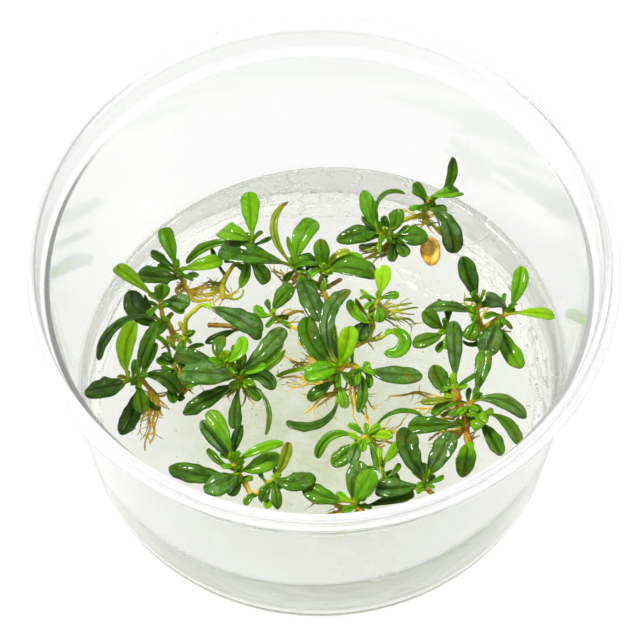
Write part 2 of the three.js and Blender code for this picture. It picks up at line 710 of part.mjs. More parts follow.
function addPlantlet(group, letter, plantlet) {
  const radius = plantlet.radius ?? STEM_RADIUS;
  const pieces = [];
  for (const shoot of plantlet.shoots) {
    const curve = shootCurve(shoot, radius);
    pieces.push(tube(curve.getPoints(shoot.points.length), radius, radius * 0.8, STEM_SIDES));
    for (const [name, place, ...rest] of shoot.leaves) {
      const look = rest.pop();
      const start = placeOnShoot(shoot, place, radius);
      if (SEPARATE_LEAVES.has(name)) {
        const leafLength = rest[2];
        addMesh(group, `leaf_${name}`, leafBody(start, rest, (radius + GAP) / leafLength), look);
      } else {
        pieces.push(leafBody(start, rest, 0));
      }
    }
  }
  for (const root of plantlet.roots) {
    pieces.push(rootBody(placeOnShoot(plantlet.shoots[root[0]], root[1], radius), root));
  }
  addMesh(group, `stem_${letter}`, joined(pieces), "stem");
}

const tubOfPlants = new THREE.Group();
addMesh(tubOfPlants, "tub", tubGeometry(), "tub");
addMesh(tubOfPlants, "gel", gelGeometry(), "gel");
for (const [letter, plantlet] of Object.entries(PLANTLETS)) {
  addPlantlet(tubOfPlants, letter, plantlet);
}
const witheredStart = onGel(WITHERED_LEAF.start, 0);
addMesh(tubOfPlants, "leaf_withered", leafBody(witheredStart, WITHERED_LEAF.shape, 0), "withered");

export default tubOfPlants;
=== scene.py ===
"""Looks of a clear tub of bucephalandra from tissue culture: a frosted clear tub, a slanted layer of gel,
and on it plantlets with stems, roots and glossy leaves, and one loose withered leaf.
Lengths are millimetres, +Z up, and become metres where a mesh is made. Angles are degrees."""
import math
import random

import bpy
import numpy as np
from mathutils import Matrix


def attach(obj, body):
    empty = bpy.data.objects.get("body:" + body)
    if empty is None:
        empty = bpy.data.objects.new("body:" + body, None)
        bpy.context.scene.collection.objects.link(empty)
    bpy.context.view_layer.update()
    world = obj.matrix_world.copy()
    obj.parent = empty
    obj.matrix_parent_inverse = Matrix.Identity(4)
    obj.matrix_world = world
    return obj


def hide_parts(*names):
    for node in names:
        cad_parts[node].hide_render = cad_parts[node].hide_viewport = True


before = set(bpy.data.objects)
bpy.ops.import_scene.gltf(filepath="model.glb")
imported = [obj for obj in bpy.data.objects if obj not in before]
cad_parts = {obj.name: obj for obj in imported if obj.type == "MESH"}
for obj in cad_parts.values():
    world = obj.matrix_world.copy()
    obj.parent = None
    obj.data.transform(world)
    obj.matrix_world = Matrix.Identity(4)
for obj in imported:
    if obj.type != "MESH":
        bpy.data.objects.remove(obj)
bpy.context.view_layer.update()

MM = 0.001

# Driving dimensions of the tub
RIM_RADIUS = 50
TUB_HEIGHT = 54.7
FOOT_RADIUS = 41.4
FOOT_WIDTH = 0.9
FLOOR_TOP = 3
FLOOR_THICKNESS = 0.8
WALL_FOOT_RADIUS = 42.3
WALL_TAPER = 0.081
COLLAR_BOTTOM = 48.2
COLLAR_RADIUS = 48.1
COLLAR_TOP = 52.6
FLANGE_INSIDE = 48.6
FLANGE_BOTTOM = 53.5
FLANGE_TOP = 54.2
BEAD_INSIDE = 47
SHOULDER_HEIGHT = 49.3
SHOULDER_RADIUS = 45.2
EDGE = 0.4  # the bevel at the bead and the shoulder
INNER_FOOT_RADIUS = 41.9
INNER_FOOT_HEIGHT = 5.5
FLOOR_RADIUS = 39.5
TUB_SIDES = 160
CORNER_STEPS = 8
ARC_SHARE = 0.49  # the most of a straight side that one corner's arc takes

# The gel: a tilted plane with a meniscus at the wall, and low relief
GEL_LEVEL = 17.6
GEL_SLOPE_X = 0.072
GEL_SLOPE_Y = -0.033
GEL_CONTACT = 0.03  # how far the gel reaches into the plastic
GEL_SIDES = 320
GEL_RINGS = 120
GEL_FLOOR_SHARES = (0.1, 0.9, 6)  # the first and the last ring on the floor, and how many
GEL_WALL_HEIGHTS = (9.0, 11.5)
MENISCUS = 0.8
MENISCUS_WIDTH = 1.2
MENISCUS_SHARES = (0.06, 1, 9)  # the first and the last ring on it, and how many
SURFACE_START = 1.4 * MENISCUS_WIDTH  # how far off the wall the even rings start
SURFACE_SHARES = (0.99, 0.008)  # the first and the last of the even rings
WALL_RING_GAP = 1.5
SURFACE_DEPTH = 1.2  # how far below the plane the surface reaches at most
RELIEF_FADE = 3  # how far off the wall the relief has its full height
SWELL = 0.1
SLANTED_SWELL = 0.05
RIPPLE = 0.02
CUT_WIDTH = 0.45
CUT_LIP = 0.4  # the height of the raised edges, as a share of the depth
TORN_WIDTH = 1.2 * CUT_WIDTH
LEAST_TORN = 0.35  # how torn a cut of no depth looks

# Cuts in the gel's surface: both ends (x, y) and the depth
GEL_CUTS = [
    ((13.8, 19.7), (23.6, 12.8), 0.9),
    ((26.5, 20.9), (29.2, 18.6), 0.7),
    ((-30, -14), (-34, -4), 0.2),
    ((-16, 15), (-8, 17), 0.2),
    ((36.8, 6.9), (39.3, -8.7), 0.3),
    ((-8, -16), (2, -18), 0.15),
    ((30, -4), (36, 2), 0.15),
    ((-33, 12), (-27, 21), 0.2),
]

# Patches of fine wrinkles: centre (x, y), reach, heading, spacing and depth
WRINKLES = [
    (-36, -9, 5, 110, 1.3, 0.12),
    (-11.7, 15.4, 6, 5, 1.2, 0.06),
    (0, 33.5, 7, 10, 1.4, 0.07),
    (15, 12, 6, 30, 1.1, 0.11),
    (37, -2, 7, 80, 1.4, 0.07),
    (-2, -20, 9, 0, 1.6, 0.09),
    (-14, -14, 7, 40, 1.3, 0.08),
    (8, 27, 7, 20, 1.4, 0.08),
    (-30, 14, 6, 60, 1.3, 0.07),
    (30, 16, 6, 130, 1.5, 0.05),
]
PATCH_NARROWNESS = 0.6
WRINKLE_WANDER = 0.35

# Air bubbles in the gel. A pair is the least and the most.
EDGE_BUBBLES = 26
EDGE_BUBBLE_TURNS = (-24, 20)
EDGE_BUBBLE_RADII = (36.5, 40.5)
EDGE_BUBBLE_STRAYS = (-0.4, 0.4)  # how far each is off its even place, in places
LOOSE_BUBBLES = 70
LOOSE_BUBBLE_REACH = 40
BUBBLE_SIZES = (0.12, 0.36)
BUBBLE_COVER = 0.25
BUBBLE_DEPTHS = (0, 1.5)
BALL_RINGS = 6
BALL_SIDES = 10

# Driving dimensions of the plantlets
STEM_RADIUS = 0.6
THICK_STEM_RADIUS = 1.1
THICK_STEMS = ("n",)
GROUND_HEIGHT = 0.5  # a shoot that starts no higher grows from the gel
STEM_SLENDERNESS = 0.8
THICK_STEM_SLENDERNESS = 0.58
STEM_TAPER = 0.2
STEM_UNEVENNESS = 0.1
STEM_TIP = (0.95, 0.8, 0.55)  # how the last rings narrow
LINE_STEPS = 14
STEM_SIDES = 14
FOOT_BULGE = 0.6  # how far the ends of a stem or root bulge, in radii
TIP_BULGE = 0.8
ROOT_RADIUS = 0.2
ROOT_SIDES = 8
ROOTLET_SIDES = 6
SCAR_WIDTH = 0.05
SCAR_HEIGHT = 0.22
BLADE_THICKNESS = 0.28
FLATTENING = 1.6  # how soon a petiole widens into a flat blade
GROOVE_DEPTH = 0.09
GROOVE_WIDTH = 0.1
KEEL_DEPTH = 0.16
KEEL_WIDTH = 0.13
PETIOLE_SHARE = 0.12
PETIOLE_END = 0.6
PETIOLE_WIDTH = 0.7
PETIOLE_FLATNESS = 0.75
BIG_LEAF = 6.5
BIG_LEAF_ROWS = 32
LEAF_ROWS = 22
LAST_ROW = 0.994  # the share of the length at the row before the tip
ROW_CROWDING = 0.6  # from 0 for even rows to 1 for rows that crowd towards the tip
LEAF_FOOT = 0.1  # how far a leaf's foot bulges behind its start
MIDRIB_STEPS = 96
# How far across a half of the blade its points are
HALF_BLADE = np.array([0.08, 0.2, 0.4, 0.62, 0.82, 0.95, 1])

# How leaves vary. A pair is the least and the most. The fold, arch and waves are shares of the half width,
# and the waves are counted over a blade of the usual length.
BASE_POWERS = (0.75, 1.3)
TIP_POWERS = (0.36, 0.62)
ROLLS = (-10, 10)
FOLDS = (-0.2, 0.4)
ARCHES = (0.04, 0.16)
WAVES = (0.03, 0.12)
WAVE_COUNTS = (1.5, 3)
USUAL_LENGTH = 8
WAVE_LAG = 1.1  # how far each half of a blade is out of step with the midrib, in radians
CRINKLE = 0.03
EDGE_WAVE = 0.035
EDGE_ROUNDING = 0.02

# How roots vary. A root has two strands, and more of them from each length (length, more strands).
# A taper is the first and the last thickness.
LEAST_ROOT_STEPS = 10
ROOT_STEPS_PER_MM = 3
ROOT_WANDERS = (8, 22)
ROOT_WANDER_PACE = 1.1  # radians to a millimetre
ROOT_SETTLING = 3
ROOT_REST = 0.5 * ROOT_RADIUS  # how high the middle of a settled root lies
ROOT_SHADES = (0.05, 0.7)
SHADE_CHANGES = (-0.3, 0.2)
ROOT_TAPER = (1.15, 0.5)
MAIN_STRAND = 1.5
MORE_STRANDS = ((4, 1), (6, 1), (9, 2))
STRAND_SPREADS = (6, 30)
STRAND_REACHES = (0.45, 0.95)
STRAND_SWEEPS = (-25, 25)
STRAND_THICKNESSES = (0.8, 1.3)
ROOTLET_SPACING = 3
ROOTLET_TAPER = (0.55, 0.25)
ROOTLET_SPREADS = (20, 60)
ROOTLET_LENGTHS = (0.8, 2.6)
ROOTLET_SWEEPS = (-60, 60)
STUBS = 6
STUB_PLACES = (0, 0.3)
STUB_SHADES = (0.2, 0.8)
STUB_TAPER = (1, 0.5)
STUB_LENGTHS = (1.2, 3.2)
STUB_SWEEPS = (-70, 70)

# The young leaves at the heart of a shoot: how many there are, where along it, and in which looks, then
# their rise, length, width, droop and sweep
YOUNG_LEAVES = 6
YOUNG_PLACES = (0.55, 1)
YOUNG_LOOKS = ("bright", "bright", "green")
YOUNG_LEAF = ((5, 70), (1.8, 4.2), (0.8, 1.5), (20, 100), (-70, 70))

# The sheath at the foot of a big leaf: how much it turns and rises from the leaf, then its length, width,
# droop and sweep
SHEATH_TURNS = (-25, 25)
SHEATH_RISES = (10, 30)
STEEPEST_SHEATH = 85
SHEATH = ((1.6, 2.8), (0.9, 1.3), (10, 50), (-20, 20))

# Each shoot: its plantlet, its points (x, y, height over the gel) and the leaves that it bears (name, place
# along the shoot, heading, rise, length, width, droop, sweep, look). The droop and the sweep are how far a
# leaf turns down and round by its tip.
SHOOTS = [
    ("a", [(-24, 16.5, 0.5), (-25, 18, 2), (-26, 19, 4.5)], [
        ("a1", 1, 120, 80, 8.5, 3, 65, -10, "bright"),
        ("a2", 0.95, 165, 50, 6, 2, 50, -25, "green"),
        ("a3", 0.9, 350, 40, 9, 3, 50, 30, "yellow"),
        ("a4", 0.45, 235, 75, 11.5, 4, 130, -105, "dark"),
    ]),
    ("b", [(-26.5, 8, 0.5), (-28, 9, 3), (-28.5, 11, 6)], [
        ("b1", 1, 145, 25, 11, 3, 40, -10, "yellow"),
        ("b2", 1, 50, 70, 4.5, 3, -5, 40, "bright"),
        ("b3", 1, 5, 15, 5.5, 3.5, 10, -35, "silver"),
        ("b4", 0.9, 355, 15, 4.5, 2, 40, -25, "bright"),
        ("b5", 0.5, 10, 5, 2.5, 1.5, -70, -20, "olive"),
        ("b6", 0.3, 160, 10, 7, 1, -50, -55, "dark"),
        ("b7", 0.3, 170, 55, 18, 2, 125, 80, "silver"),
        ("b8", 0.25, 190, 10, 10.5, 4, 0, -110, "dark"),
        ("b9", 0.3, 260, 80, 5.5, 3, 100, -45, "green"),
    ]),
    ("c", [(-29, -5.5, 0.5), (-30.5, -4, 1.5), (-32, -3, 3), (-33.5, -4, 4)], [
        ("c1", 1, 120, 25, 11, 3.5, -10, -75, "yellow"),
        ("c2", 0.75, 75, 50, 10.5, 2.5, 20, -25, "dark"),
        ("c3", 0.65, 65, 30, 7, 2, 5, -5, "green"),
        ("c4", 0.7, 5, 45, 9, 3, 90, -55, "dark"),
        ("c5", 1, 220, 30, 9, 4.5, 70, -55, "dark"),
        ("c6", 0.7, 275, -5, 7.5, 3, -20, 5, "green"),
        ("c7", 0.65, 265, -20, 11, 3.5, -20, -25, "dark"),
        ("c8", 1, 130, -20, 3, 1, 0, 45, "olive"),
        ("c9", 0.1, 220, -5, 4.5, 1, -15, 150, "dark"),
    ]),
    ("d", [(-24, -5, 0.5), (-25, -2.5, 1.5), (-26, -0.5, 3), (-27, 1, 3.5)], [
        ("d2", 0.8, 210, 15, 3, 1.5, 5, -90, "bright"),
        ("d3", 0.9, 85, 45, 6, 1, 55, 85, "green"),
        ("d4", 0.8, 165, 95, 3, 1.5, 110, -20, "dark"),
        ("d5", 0.3, 215, 10, 5, 2, 15, 90, "green"),
        ("d6", 0, 215, 25, 2, 1.5, 40, 85, "silver"),
        ("d7", 0.1, 15, 50, 3.5, 1.5, 30, -30, "bright"),
    ]),
    ("d", [(-25, -2.5, 1.5), (-24.5, 2, 3), (-24, 4.5, 5), (-25, 6.5, 6.5)], [
        ("d8", 0.4, 70, -15, 5, 1, -25, -80, "green"),
        ("d10", 0.4, 140, 10, 4.5, 1, 0, -25, "olive"),
    ]),
    ("d", [(-24, 4.5, 5), (-23.5, 6, 8.5), (-22, 7, 9.5), (-21, 8, 9.5)], [
        ("d1", 1, 335, 15, 12.5, 5, 60, 10, "silver"),
    ]),
    ("t", [(-20, 9, 0.5), (-17, 8.5, 1), (-14, 7.5, 1.5)], [
        ("t1", 1, 215, 30, 7.5, 2, 60, -20, "dark"),
    ]),
    ("e", [(-13, -5.5, 0.5), (-13.5, -4.5, 2), (-14.5, -3.5, 3.5)], [
        ("e1", 1, 210, 60, 11.5, 5.5, 95, -50, "silver"),
        ("e2", 0.8, 165, 30, 13, 3.5, 55, -15, "dark"),
        ("e7", 1, 15, 60, 13, 3.5, 80, 50, "silver"),
        ("e8", 1, 75, 0, 5, 2, -70, 0, "dark"),
        ("e9", 0.9, 10, 30, 10.5, 2, 35, 55, "bright"),
        ("e10", 0.8, 15, 0, 10, 1.5, -5, 40, "yellow"),
        ("e11", 1, 5, 40, 6, 2.5, 20, -5, "bright"),
        ("e12", 0.8, 25, 35, 7.5, 3, 85, -85, "silver"),
        ("e13", 1, 170, 100, 3.5, 1.5, 25, -80, "dark"),
        ("e14", 0.5, 300, 20, 4.5, 2.5, 50, 40, "dark"),
        ("e15", 0.6, 340, 15, 12.5, 1, 40, -95, "dark"),
        ("e16", 0.7, 255, -5, 9.5, 2.5, -5, 20, "dark"),
        ("e17", 0.7, 215, 5, 12, 3.5, 35, -15, "dark"),
        ("e18", 0.8, 225, 5, 3, 1.5, 55, 0, "bright"),
    ]),
    ("e", [(-14.5, -3.5, 3.5), (-15.5, -3, 4.5), (-16.5, -2, 5.5)], [
        ("e3", 1, 315, 75, 7.5, 2.5, 100, 175, "bright"),
        ("e4", 1, 165, 45, 6, 2.5, 60, -140, "dark"),
        ("e5", 0.9, 100, 75, 3, 2.5, 30, 30, "yellow"),
        ("e6", 0.9, 150, 10, 3.5, 1.5, 0, 40, "bright"),
    ]),
    ("f", [(-13, -23.5, 0.5), (-14, -22.5, 2), (-15, -21.5, 4.5)], [
        ("f1", 0.95, 135, 50, 9.5, 3, 45, -5, "silver"),
        ("f2", 1, 105, 75, 11, 3, 90, 25, "bright"),
        ("f3", 1, 90, 20, 7, 2, -35, -40, "dark"),
        ("f4", 0.6, 180, 35, 7, 1.5, 60, -75, "green"),
        ("f5", 0.35, 200, 20, 13, 4, 40, -55, "dark"),
        ("f6", 0.45, 255, 60, 8.5, 4.5, 95, -80, "silver"),
        ("f7", 0.9, 20, 50, 10, 2, 65, -5, "bright"),
        ("f8", 0.5, 350, 45, 8.5, 4, 70, 65, "green"),
        ("f9", 0.95, 30, 70, 4, 1.5, 0, -50, "bright"),
        ("f10", 0.2, 345, 50, 3, 1.5, 20, -35, "bright"),
        ("f11", 0.1, 230, 25, 4, 2.5, 40, 5, "dark"),
    ]),
    ("f", [(-13, -23.5, 0.5), (-11.5, -26, 0.5), (-9.5, -25, 1.5), (-7.5, -24, 3)], [
        ("f12", 0.95, 35, 55, 7.5, 2, 20, 50, "olive"),
        ("f13", 1, 260, 70, 11, 4, 135, 210, "dark"),
        ("f14", 0.9, 285, 55, 6.5, 2, 140, -10, "dark"),
        ("f15", 0.8, 265, 60, 5, 2, 165, -45, "dark"),
        ("f16", 0.6, 285, 20, 4, 1.5, 40, 5, "yellow"),
        ("f17", 0.4, 235, 80, 3.5, 1.5, 145, -5, "green"),
    ]),
    ("g", [(1.5, 13.5, 0.5), (0, 15.5, 2), (-3, 17, 4), (-4.5, 18, 5.5)], [
        ("g1", 0.85, 280, 35, 13.5, 4, 45, 15, "silver"),
        ("g2", 0.95, 190, 50, 16, 5, 90, -45, "dark"),
        ("g3", 1, 170, 55, 14.5, 1.5, 60, -135, "olive"),
        ("g4", 1, 105, 25, 5.5, 1, 0, 0, "yellow"),
        ("g5", 0.95, 90, 90, 11.5, 4, 130, -45, "green"),
        ("g6", 0.85, 0, 140, 7.5, 3, 250, 25, "green"),
        ("g7", 0.9, 185, -35, 3.5, 1.5, 0, 45, "green"),
    ]),
    ("g", [(0, 15.5, 2), (0.5, 16.5, 4), (1, 17, 5)], [
        ("g8", 0.9, 105, 75, 7, 3, 30, -5, "green"),
        ("g9", 0.9, 355, 50, 10.5, 4.5, 85, -10, "dark"),
        ("g10", 0.85, 55, 25, 8, 2.5, 40, -75, "bright"),
        ("g11", 0.9, 70, 40, 6.5, 1.5, 30, -75, "olive"),
        ("g12", 0.3, 20, 5, 2, 2, -85, 0, "dark"),
        ("g13", 0.8, 155, 75, 5, 1, 125, -60, "green"),
    ]),
    ("g", [(0.5, 15, 1.5), (2, 16, 1.5), (4, 17, 2)], []),
    ("h", [(-17.5, 14.5, 0.5), (-17.5, 17, 2), (-15.5, 19, 5), (-12, 21.5, 8)], [
        ("h1", 1, 95, 35, 9.5, 3.5, 0, 0, "bright"),
        ("h2", 1, 195, 85, 8.5, 4, 145, -60, "green"),
        ("h3", 1, 50, 100, 3.5, 1, 130, -10, "dark"),
        ("h4", 0.95, 40, -25, 4.5, 1, -65, -35, "dark"),
        ("h5", 0.85, 285, -45, 7, 2, -10, -55, "green"),
        ("h6", 0.85, 310, -15, 7, 3, 35, 0, "green"),
        ("h7", 0.9, 150, 5, 13.5, 2, 55, 65, "green"),
        ("h8", 0.35, 135, 25, 6, 1, 0, -30, "dark"),
    ]),
    ("i", [(3, -6.5, 0.5), (3, -4.5, 2), (3.5, -2.5, 3.5)], [
        ("i1", 1, 25, 80, 9, 3.5, 45, 70, "yellow"),
        ("i2", 1, 215, 50, 7.5, 4, 80, -20, "bright"),
        ("i3", 0.9, 150, -25, 12, 1, -20, 55, "yellow"),
        ("i4", 0.95, 165, 30, 12.5, 4, 45, -90, "dark"),
        ("i5", 1, 140, 55, 17, 3, 75, -110, "silver"),
        ("i6", 1, 120, 45, 5.5, 2, 20, -5, "dark"),
        ("i7", 1, 100, 20, 8, 1, 0, -5, "yellow"),
        ("i11", 0.5, 295, 10, 5.5, 2, 40, -15, "bright"),
        ("i12", 0.9, 320, -5, 4.5, 2.5, 5, 5, "dark"),
        ("i13", 0.15, 285, 0, 14, 2, 0, -140, "dark"),
        ("i14", 0.5, 220, 30, 6.5, 2.5, 75, -15, "dark"),
    ]),
    ("i", [(3.5, -2.5, 3.5), (5.5, -2.5, 4), (7.5, -3.5, 4)], [
        ("i8", 0.7, 305, -15, 8.5, 2, 10, -65, "dark"),
        ("i9", 1, 335, 20, 11, 4, 35, 35, "silver"),
        ("i10", 1, 5, -50, 4, 1.5, -15, -135, "bright"),
    ]),
    ("j", [(6.5, 3.5, 0.5), (8.5, 4.5, 1), (9.5, 6.5, 2), (9, 8, 4), (10.5, 9.5, 6.5)], [
        ("j1", 1, 70, 60, 6.5, 3, 40, 15, "yellow"),
        ("j2", 1, 15, 40, 4, 2, 40, -30, "green"),
        ("j3", 0.85, 115, 15, 4, 1, 0, 30, "yellow"),
        ("j4", 0.9, 295, 5, 3.5, 2.5, 50, -20, "green"),
        ("j5", 0.65, 240, -10, 5, 3.5, 15, 5, "dark"),
        ("j6", 0.5, 220, 60, 7.5, 2, 55, -135, "bright"),
        ("j7", 0.6, 130, -5, 5, 1, -85, 15, "olive"),
    ]),
    ("j", [(8.5, 4.5, 1), (10, 4.5, 1), (11.5, 4.5, 2)], [
        ("j8", 1, 55, 5, 10, 2.6, 20, -280, "bright"),
    ]),
    ("k", [(9.5, -14, 0.5), (8.5, -16, 2.5), (7, -18, 4.5)], [
        ("k1", 1, 140, 20, 10.5, 2, 90, 115, "green"),
        ("k2", 1, 250, 25, 5, 2.5, 50, 0, "silver"),
        ("k3", 0.7, 305, 35, 7, 2, 75, -25, "green"),
        ("k4", 0.5, 350, 35, 5, 2, 15, -20, "yellow"),
        ("k5", 1, 220, -25, 6.5, 3.5, -5, -10, "green"),
        ("k6", 0, 50, 60, 10.5, 1, 85, -75, "green"),
    ]),
    ("l", [(7.5, -30, 0.5), (6.5, -29.5, 1.5), (5.5, -29, 3)], [
        ("l1", 0.8, 20, 80, 8, 4, 55, 45, "bright"),
        ("l2", 1, 185, 10, 9, 3.5, 20, -50, "green"),
        ("l3", 0.9, 95, 50, 4.5, 2, 35, -10, "dark"),
        ("l4", 0.5, 95, 40, 8, 4, 25, -20, "silver"),
        ("l5", 0.3, 20, 0, 10, 2.5, 0, -5, "dark"),
    ]),
    ("m", [(19.5, -27, 0.5), (18.5, -26.5, 2), (18, -26, 4)], [
        ("m1", 1, 175, 85, 12, 4, 125, -115, "dark"),
        ("m2", 0.8, 210, 25, 9, 4, 45, -45, "silver"),
        ("m3", 1, 50, 45, 9.5, 4, 35, 10, "silver"),
        ("m4", 1, 100, 65, 3.5, 1.5, 25, -10, "bright"),
    ]),
    ("m", [(18.5, -26.5, 2), (14, -26, 2), (11.5, -25.5, 3.5), (10.5, -23.5, 5.5)], [
        ("m5", 0.4, 150, 35, 4, 2.5, 45, -20, "green"),
        ("m6", 1, 40, 25, 5.5, 2, -40, 0, "yellow"),
        ("m7", 1, 120, 100, 4.5, 1, 175, -55, "yellow"),
    ]),
    ("n", [(26, -17.5, 0.5), (25.5, -15, 2), (25, -13, 4.5), (24, -11.5, 6), (23.5, -9.5, 7.5)], [
        ("n1", 1, 90, 35, 11.5, 3, -5, 5, "silver"),
        ("n2", 0.8, 145, -5, 7.5, 3.5, -55, -35, "dark"),
        ("n3", 0.8, 180, -10, 6.5, 1.5, 5, 0, "olive"),
        ("n4", 0.75, 175, -20, 5.5, 2, 20, 40, "green"),
        ("n5", 0.35, 200, 25, 10.5, 3.5, 55, -35, "dark"),
        ("n6", 0.3, 215, 50, 5.5, 1, 155, -95, "yellow"),
        ("n7", 0.55, 150, -30, 5, 1, 15, 35, "olive"),
        ("n9", 0.95, 0, 85, 6.5, 1, 145, 60, "green"),
        ("n10", 0.9, 40, 5, 2.5, 1, 0, 0, "yellow"),
        ("n15", 0.1, 270, 5, 8, 3.5, 5, -20, "green"),
    ]),
    ("n", [(25, -13.5, 4), (26.5, -11.5, 5.5)], [
        ("n8", 1, 65, 25, 9.5, 3, 15, 20, "green"),
        ("n11", 1, 5, 40, 11, 3, 90, -45, "silver"),
        ("n16", 1, 45, 55, 2.5, 1, 0, -40, "green"),
    ]),
    ("n", [(25.5, -14.5, 2.5), (27.5, -13.5, 3.5), (28.5, -13, 4)], [
        ("n12", 1, 350, 10, 9, 2.5, 45, -65, "dark"),
        ("n13", 0.6, 310, -10, 8, 3, 5, -15, "dark"),
        ("n14", 0.2, 340, 85, 4.5, 4, 90, -15, "bright"),
    ]),
    ("o", [(28, 5.5, 0.5), (29.5, 6, 1.5), (31.5, 6.5, 3), (33.5, 7, 4.5)], [
        ("o1", 1, 50, 55, 9, 3, 50, 40, "bright"),
        ("o2", 1, 135, 60, 5.5, 3.5, 60, 45, "silver"),
        ("o3", 0.95, 350, 30, 9, 2.5, 65, 15, "yellow"),
        ("o4", 0.8, 325, -35, 3, 1, 0, -10, "olive"),
        ("o9", 0.7, 255, 20, 8.5, 4.5, 40, -10, "silver"),
        ("o10", 0.6, 295, -30, 10.5, 3.5, -50, 0, "green"),
        ("o13", 0.2, 300, -5, 6.5, 1, 0, -175, "dark"),
    ]),
    ("o", [(29, 6, 1.5), (28, 7.5, 4), (28.5, 8.5, 6)], [
        ("o5", 1, 130, 40, 9, 3.5, 0, -25, "dark"),
        ("o6", 0.9, 180, 50, 4.5, 2, -45, -20, "green"),
        ("o7", 0.9, 0, 85, 5, 1.5, 5, -15, "bright"),
        ("o8", 0.8, 30, -15, 3, 1.5, -95, -5, "bright"),
        ("o11", 0.3, 245, 40, 5, 3, 85, 0, "green"),
        ("o12", 0.5, 185, 55, 11, 2.5, 115, -25, "silver"),
    ]),
    ("o", [(28, 5.5, 0.5), (25.5, 5, 0.5), (23.5, 4, 2), (22.5, 4.5, 3)], [
        ("o14", 1, 165, 45, 6, 3.5, 10, -15, "dark"),
        ("o15", 1, 230, 25, 7, 3, 65, -65, "dark"),
        ("o16", 0.8, 220, -5, 4, 1.5, 5, 20, "green"),
        ("o17", 1, 70, 45, 6.5, 1, 60, 65, "dark"),
        ("o18", 1, 80, 15, 6, 1, 15, -5, "dark"),
        ("o19", 1, 130, 70, 3.5, 1, -15, 0, "bright"),
    ]),
    ("q", [(14, 24.5, 0.5), (14, 25, 2), (13, 25, 4)], [
        ("q3", 0.9, 180, 25, 10.5, 4, 55, 10, "dark"),
        ("q7", 1, 20, 85, 5.5, 3, 70, 85, "green"),
        ("q8", 0.9, 325, 45, 7, 4.5, 65, 60, "dark"),
        ("q9", 0.7, 305, 0, 4.5, 2.5, 15, -10, "dark"),
        ("q10", 0.6, 270, -20, 4.5, 2, 0, -20, "green"),
    ]),
    ("q", [(13, 25, 4), (12, 24.5, 4.5), (11, 24.5, 5.5)], [
        ("q1", 1, 130, 45, 8.5, 3, 15, -25, "bright"),
        ("q2", 0.4, 185, 70, 13.5, 1, 80, -220, "dark"),
        ("q4", 1, 170, -10, 3.5, 2, -40, 70, "green"),
        ("q5", 0.5, 240, -30, 6, 2, -5, -110, "olive"),
        ("q6", 1, 150, 35, 4.5, 1.5, 35, -15, "dark"),
    ]),
    ("r", [(20.5, 29, 0.5), (19, 30, 2), (19.5, 30.5, 4), (20, 31, 6)], [
        ("r1", 1, 150, 40, 4.5, 2.5, -5, 5, "green"),
        ("r2", 1, 320, 85, 8, 3, 145, 85, "bright"),
        ("r3", 1, 345, 35, 11.5, 2, -45, 135, "dark"),
        ("r4", 0.6, 325, 60, 13, 4, 140, -50, "silver"),
        ("r5", 0.7, 345, 10, 4, 2, -5, -10, "green"),
        ("r6", 0.15, 310, 25, 4.5, 1, 50, 5, "olive"),
    ]),
    ("r", [(19.2, 30, 2.4), (17, 30, 2), (15, 29, 2)], []),
    ("s", [(-6.5, 9, 0.5), (-7.5, 9.5, 1), (-8.5, 10, 2)], [
        ("s1", 1, 45, 70, 7, 3.5, 50, -15, "dark"),
        ("s2", 1, 220, 10, 4, 2, -5, -135, "bright"),
    ]),
]

# The roots of each plantlet: (shoot, place along it, heading, length, sweep)
ROOTS = {
    "a": [(0, 0, 20, 5, 30), (0, 0, 350, 6, 20), (0, 0, 285, 6, 120), (0, 0.3, 125, 4, 290)],
    "b": [(0, 0, 325, 4, -65), (0, 0, 245, 4, 5)],
    "c": [(0, 0.25, 275, 12, -35), (0, 0.1, 280, 10, -45), (0, 0, 300, 4, -10)],
    "d": [(0, 0.05, 180, 4, -210), (1, 0.1, 280, 5, 110)],
    "t": [],
    "e": [(0, 0.55, 190, 5, 10), (0, 0.7, 155, 4, 65)],
    "f": [],
    "g": [(0, 0.75, 185, 7, -65), (0, 0.85, 150, 6, -5)],
    "h": [(0, 0.05, 340, 5, 80), (0, 0.1, 125, 4, 50), (0, 0.35, 160, 4, 35), (0, 0.25, 225, 4, -35)],
    "i": [
        (0, 0.05, 185, 7, 35), (0, 0.9, 140, 11, -10), (0, 0.85, 110, 10, 95), (0, 0.8, 155, 12, -5),
        (1, 0.6, 265, 12, 40), (0, 0.7, 170, 11, -20),
    ],
    "j": [(0, 0.95, 40, 8, -35), (0, 0.9, 30, 8, -60), (0, 0.9, 60, 8, -45)],
    "k": [(0, 0, 350, 6, 15), (0, 0, 320, 5, 45), (0, 0.2, 260, 4, 150)],
    "l": [(0, 0.6, 195, 11, -30), (0, 0.6, 180, 7, 40)],
    "m": [],
    "n": [
        (0, 0.85, 125, 13, 95), (0, 0.3, 170, 7, 40), (0, 0.6, 145, 5, 75), (0, 0.25, 185, 7, 40),
        (0, 0.7, 115, 6, 80),
    ],
    "o": [(0, 0.1, 110, 10, -10), (0, 0.4, 325, 4, 75)],
    "q": [(0, 0.5, 220, 7, -40), (0, 0.7, 210, 8, -35), (0, 0.25, 180, 4, -15)],
    "r": [(0, 0.3, 105, 5, 85), (0, 0.5, 35, 4, -5)],
    "s": [(0, 0, 330, 5, 0), (0, 0.15, 75, 5, -80)],
}

SEPARATE_LEAVES = set("""
    a1 a4 b1 b8 c1 c5 c7 d1 e1 e7 f2 f5 f8 f13 g1 g2 g9 h1 h2
    i1 i2 i4 i5 i9 j1 j8 l2 m1 m2 m3 n1 n5 n8 n11 o1 o5 o9 r4
""".split())

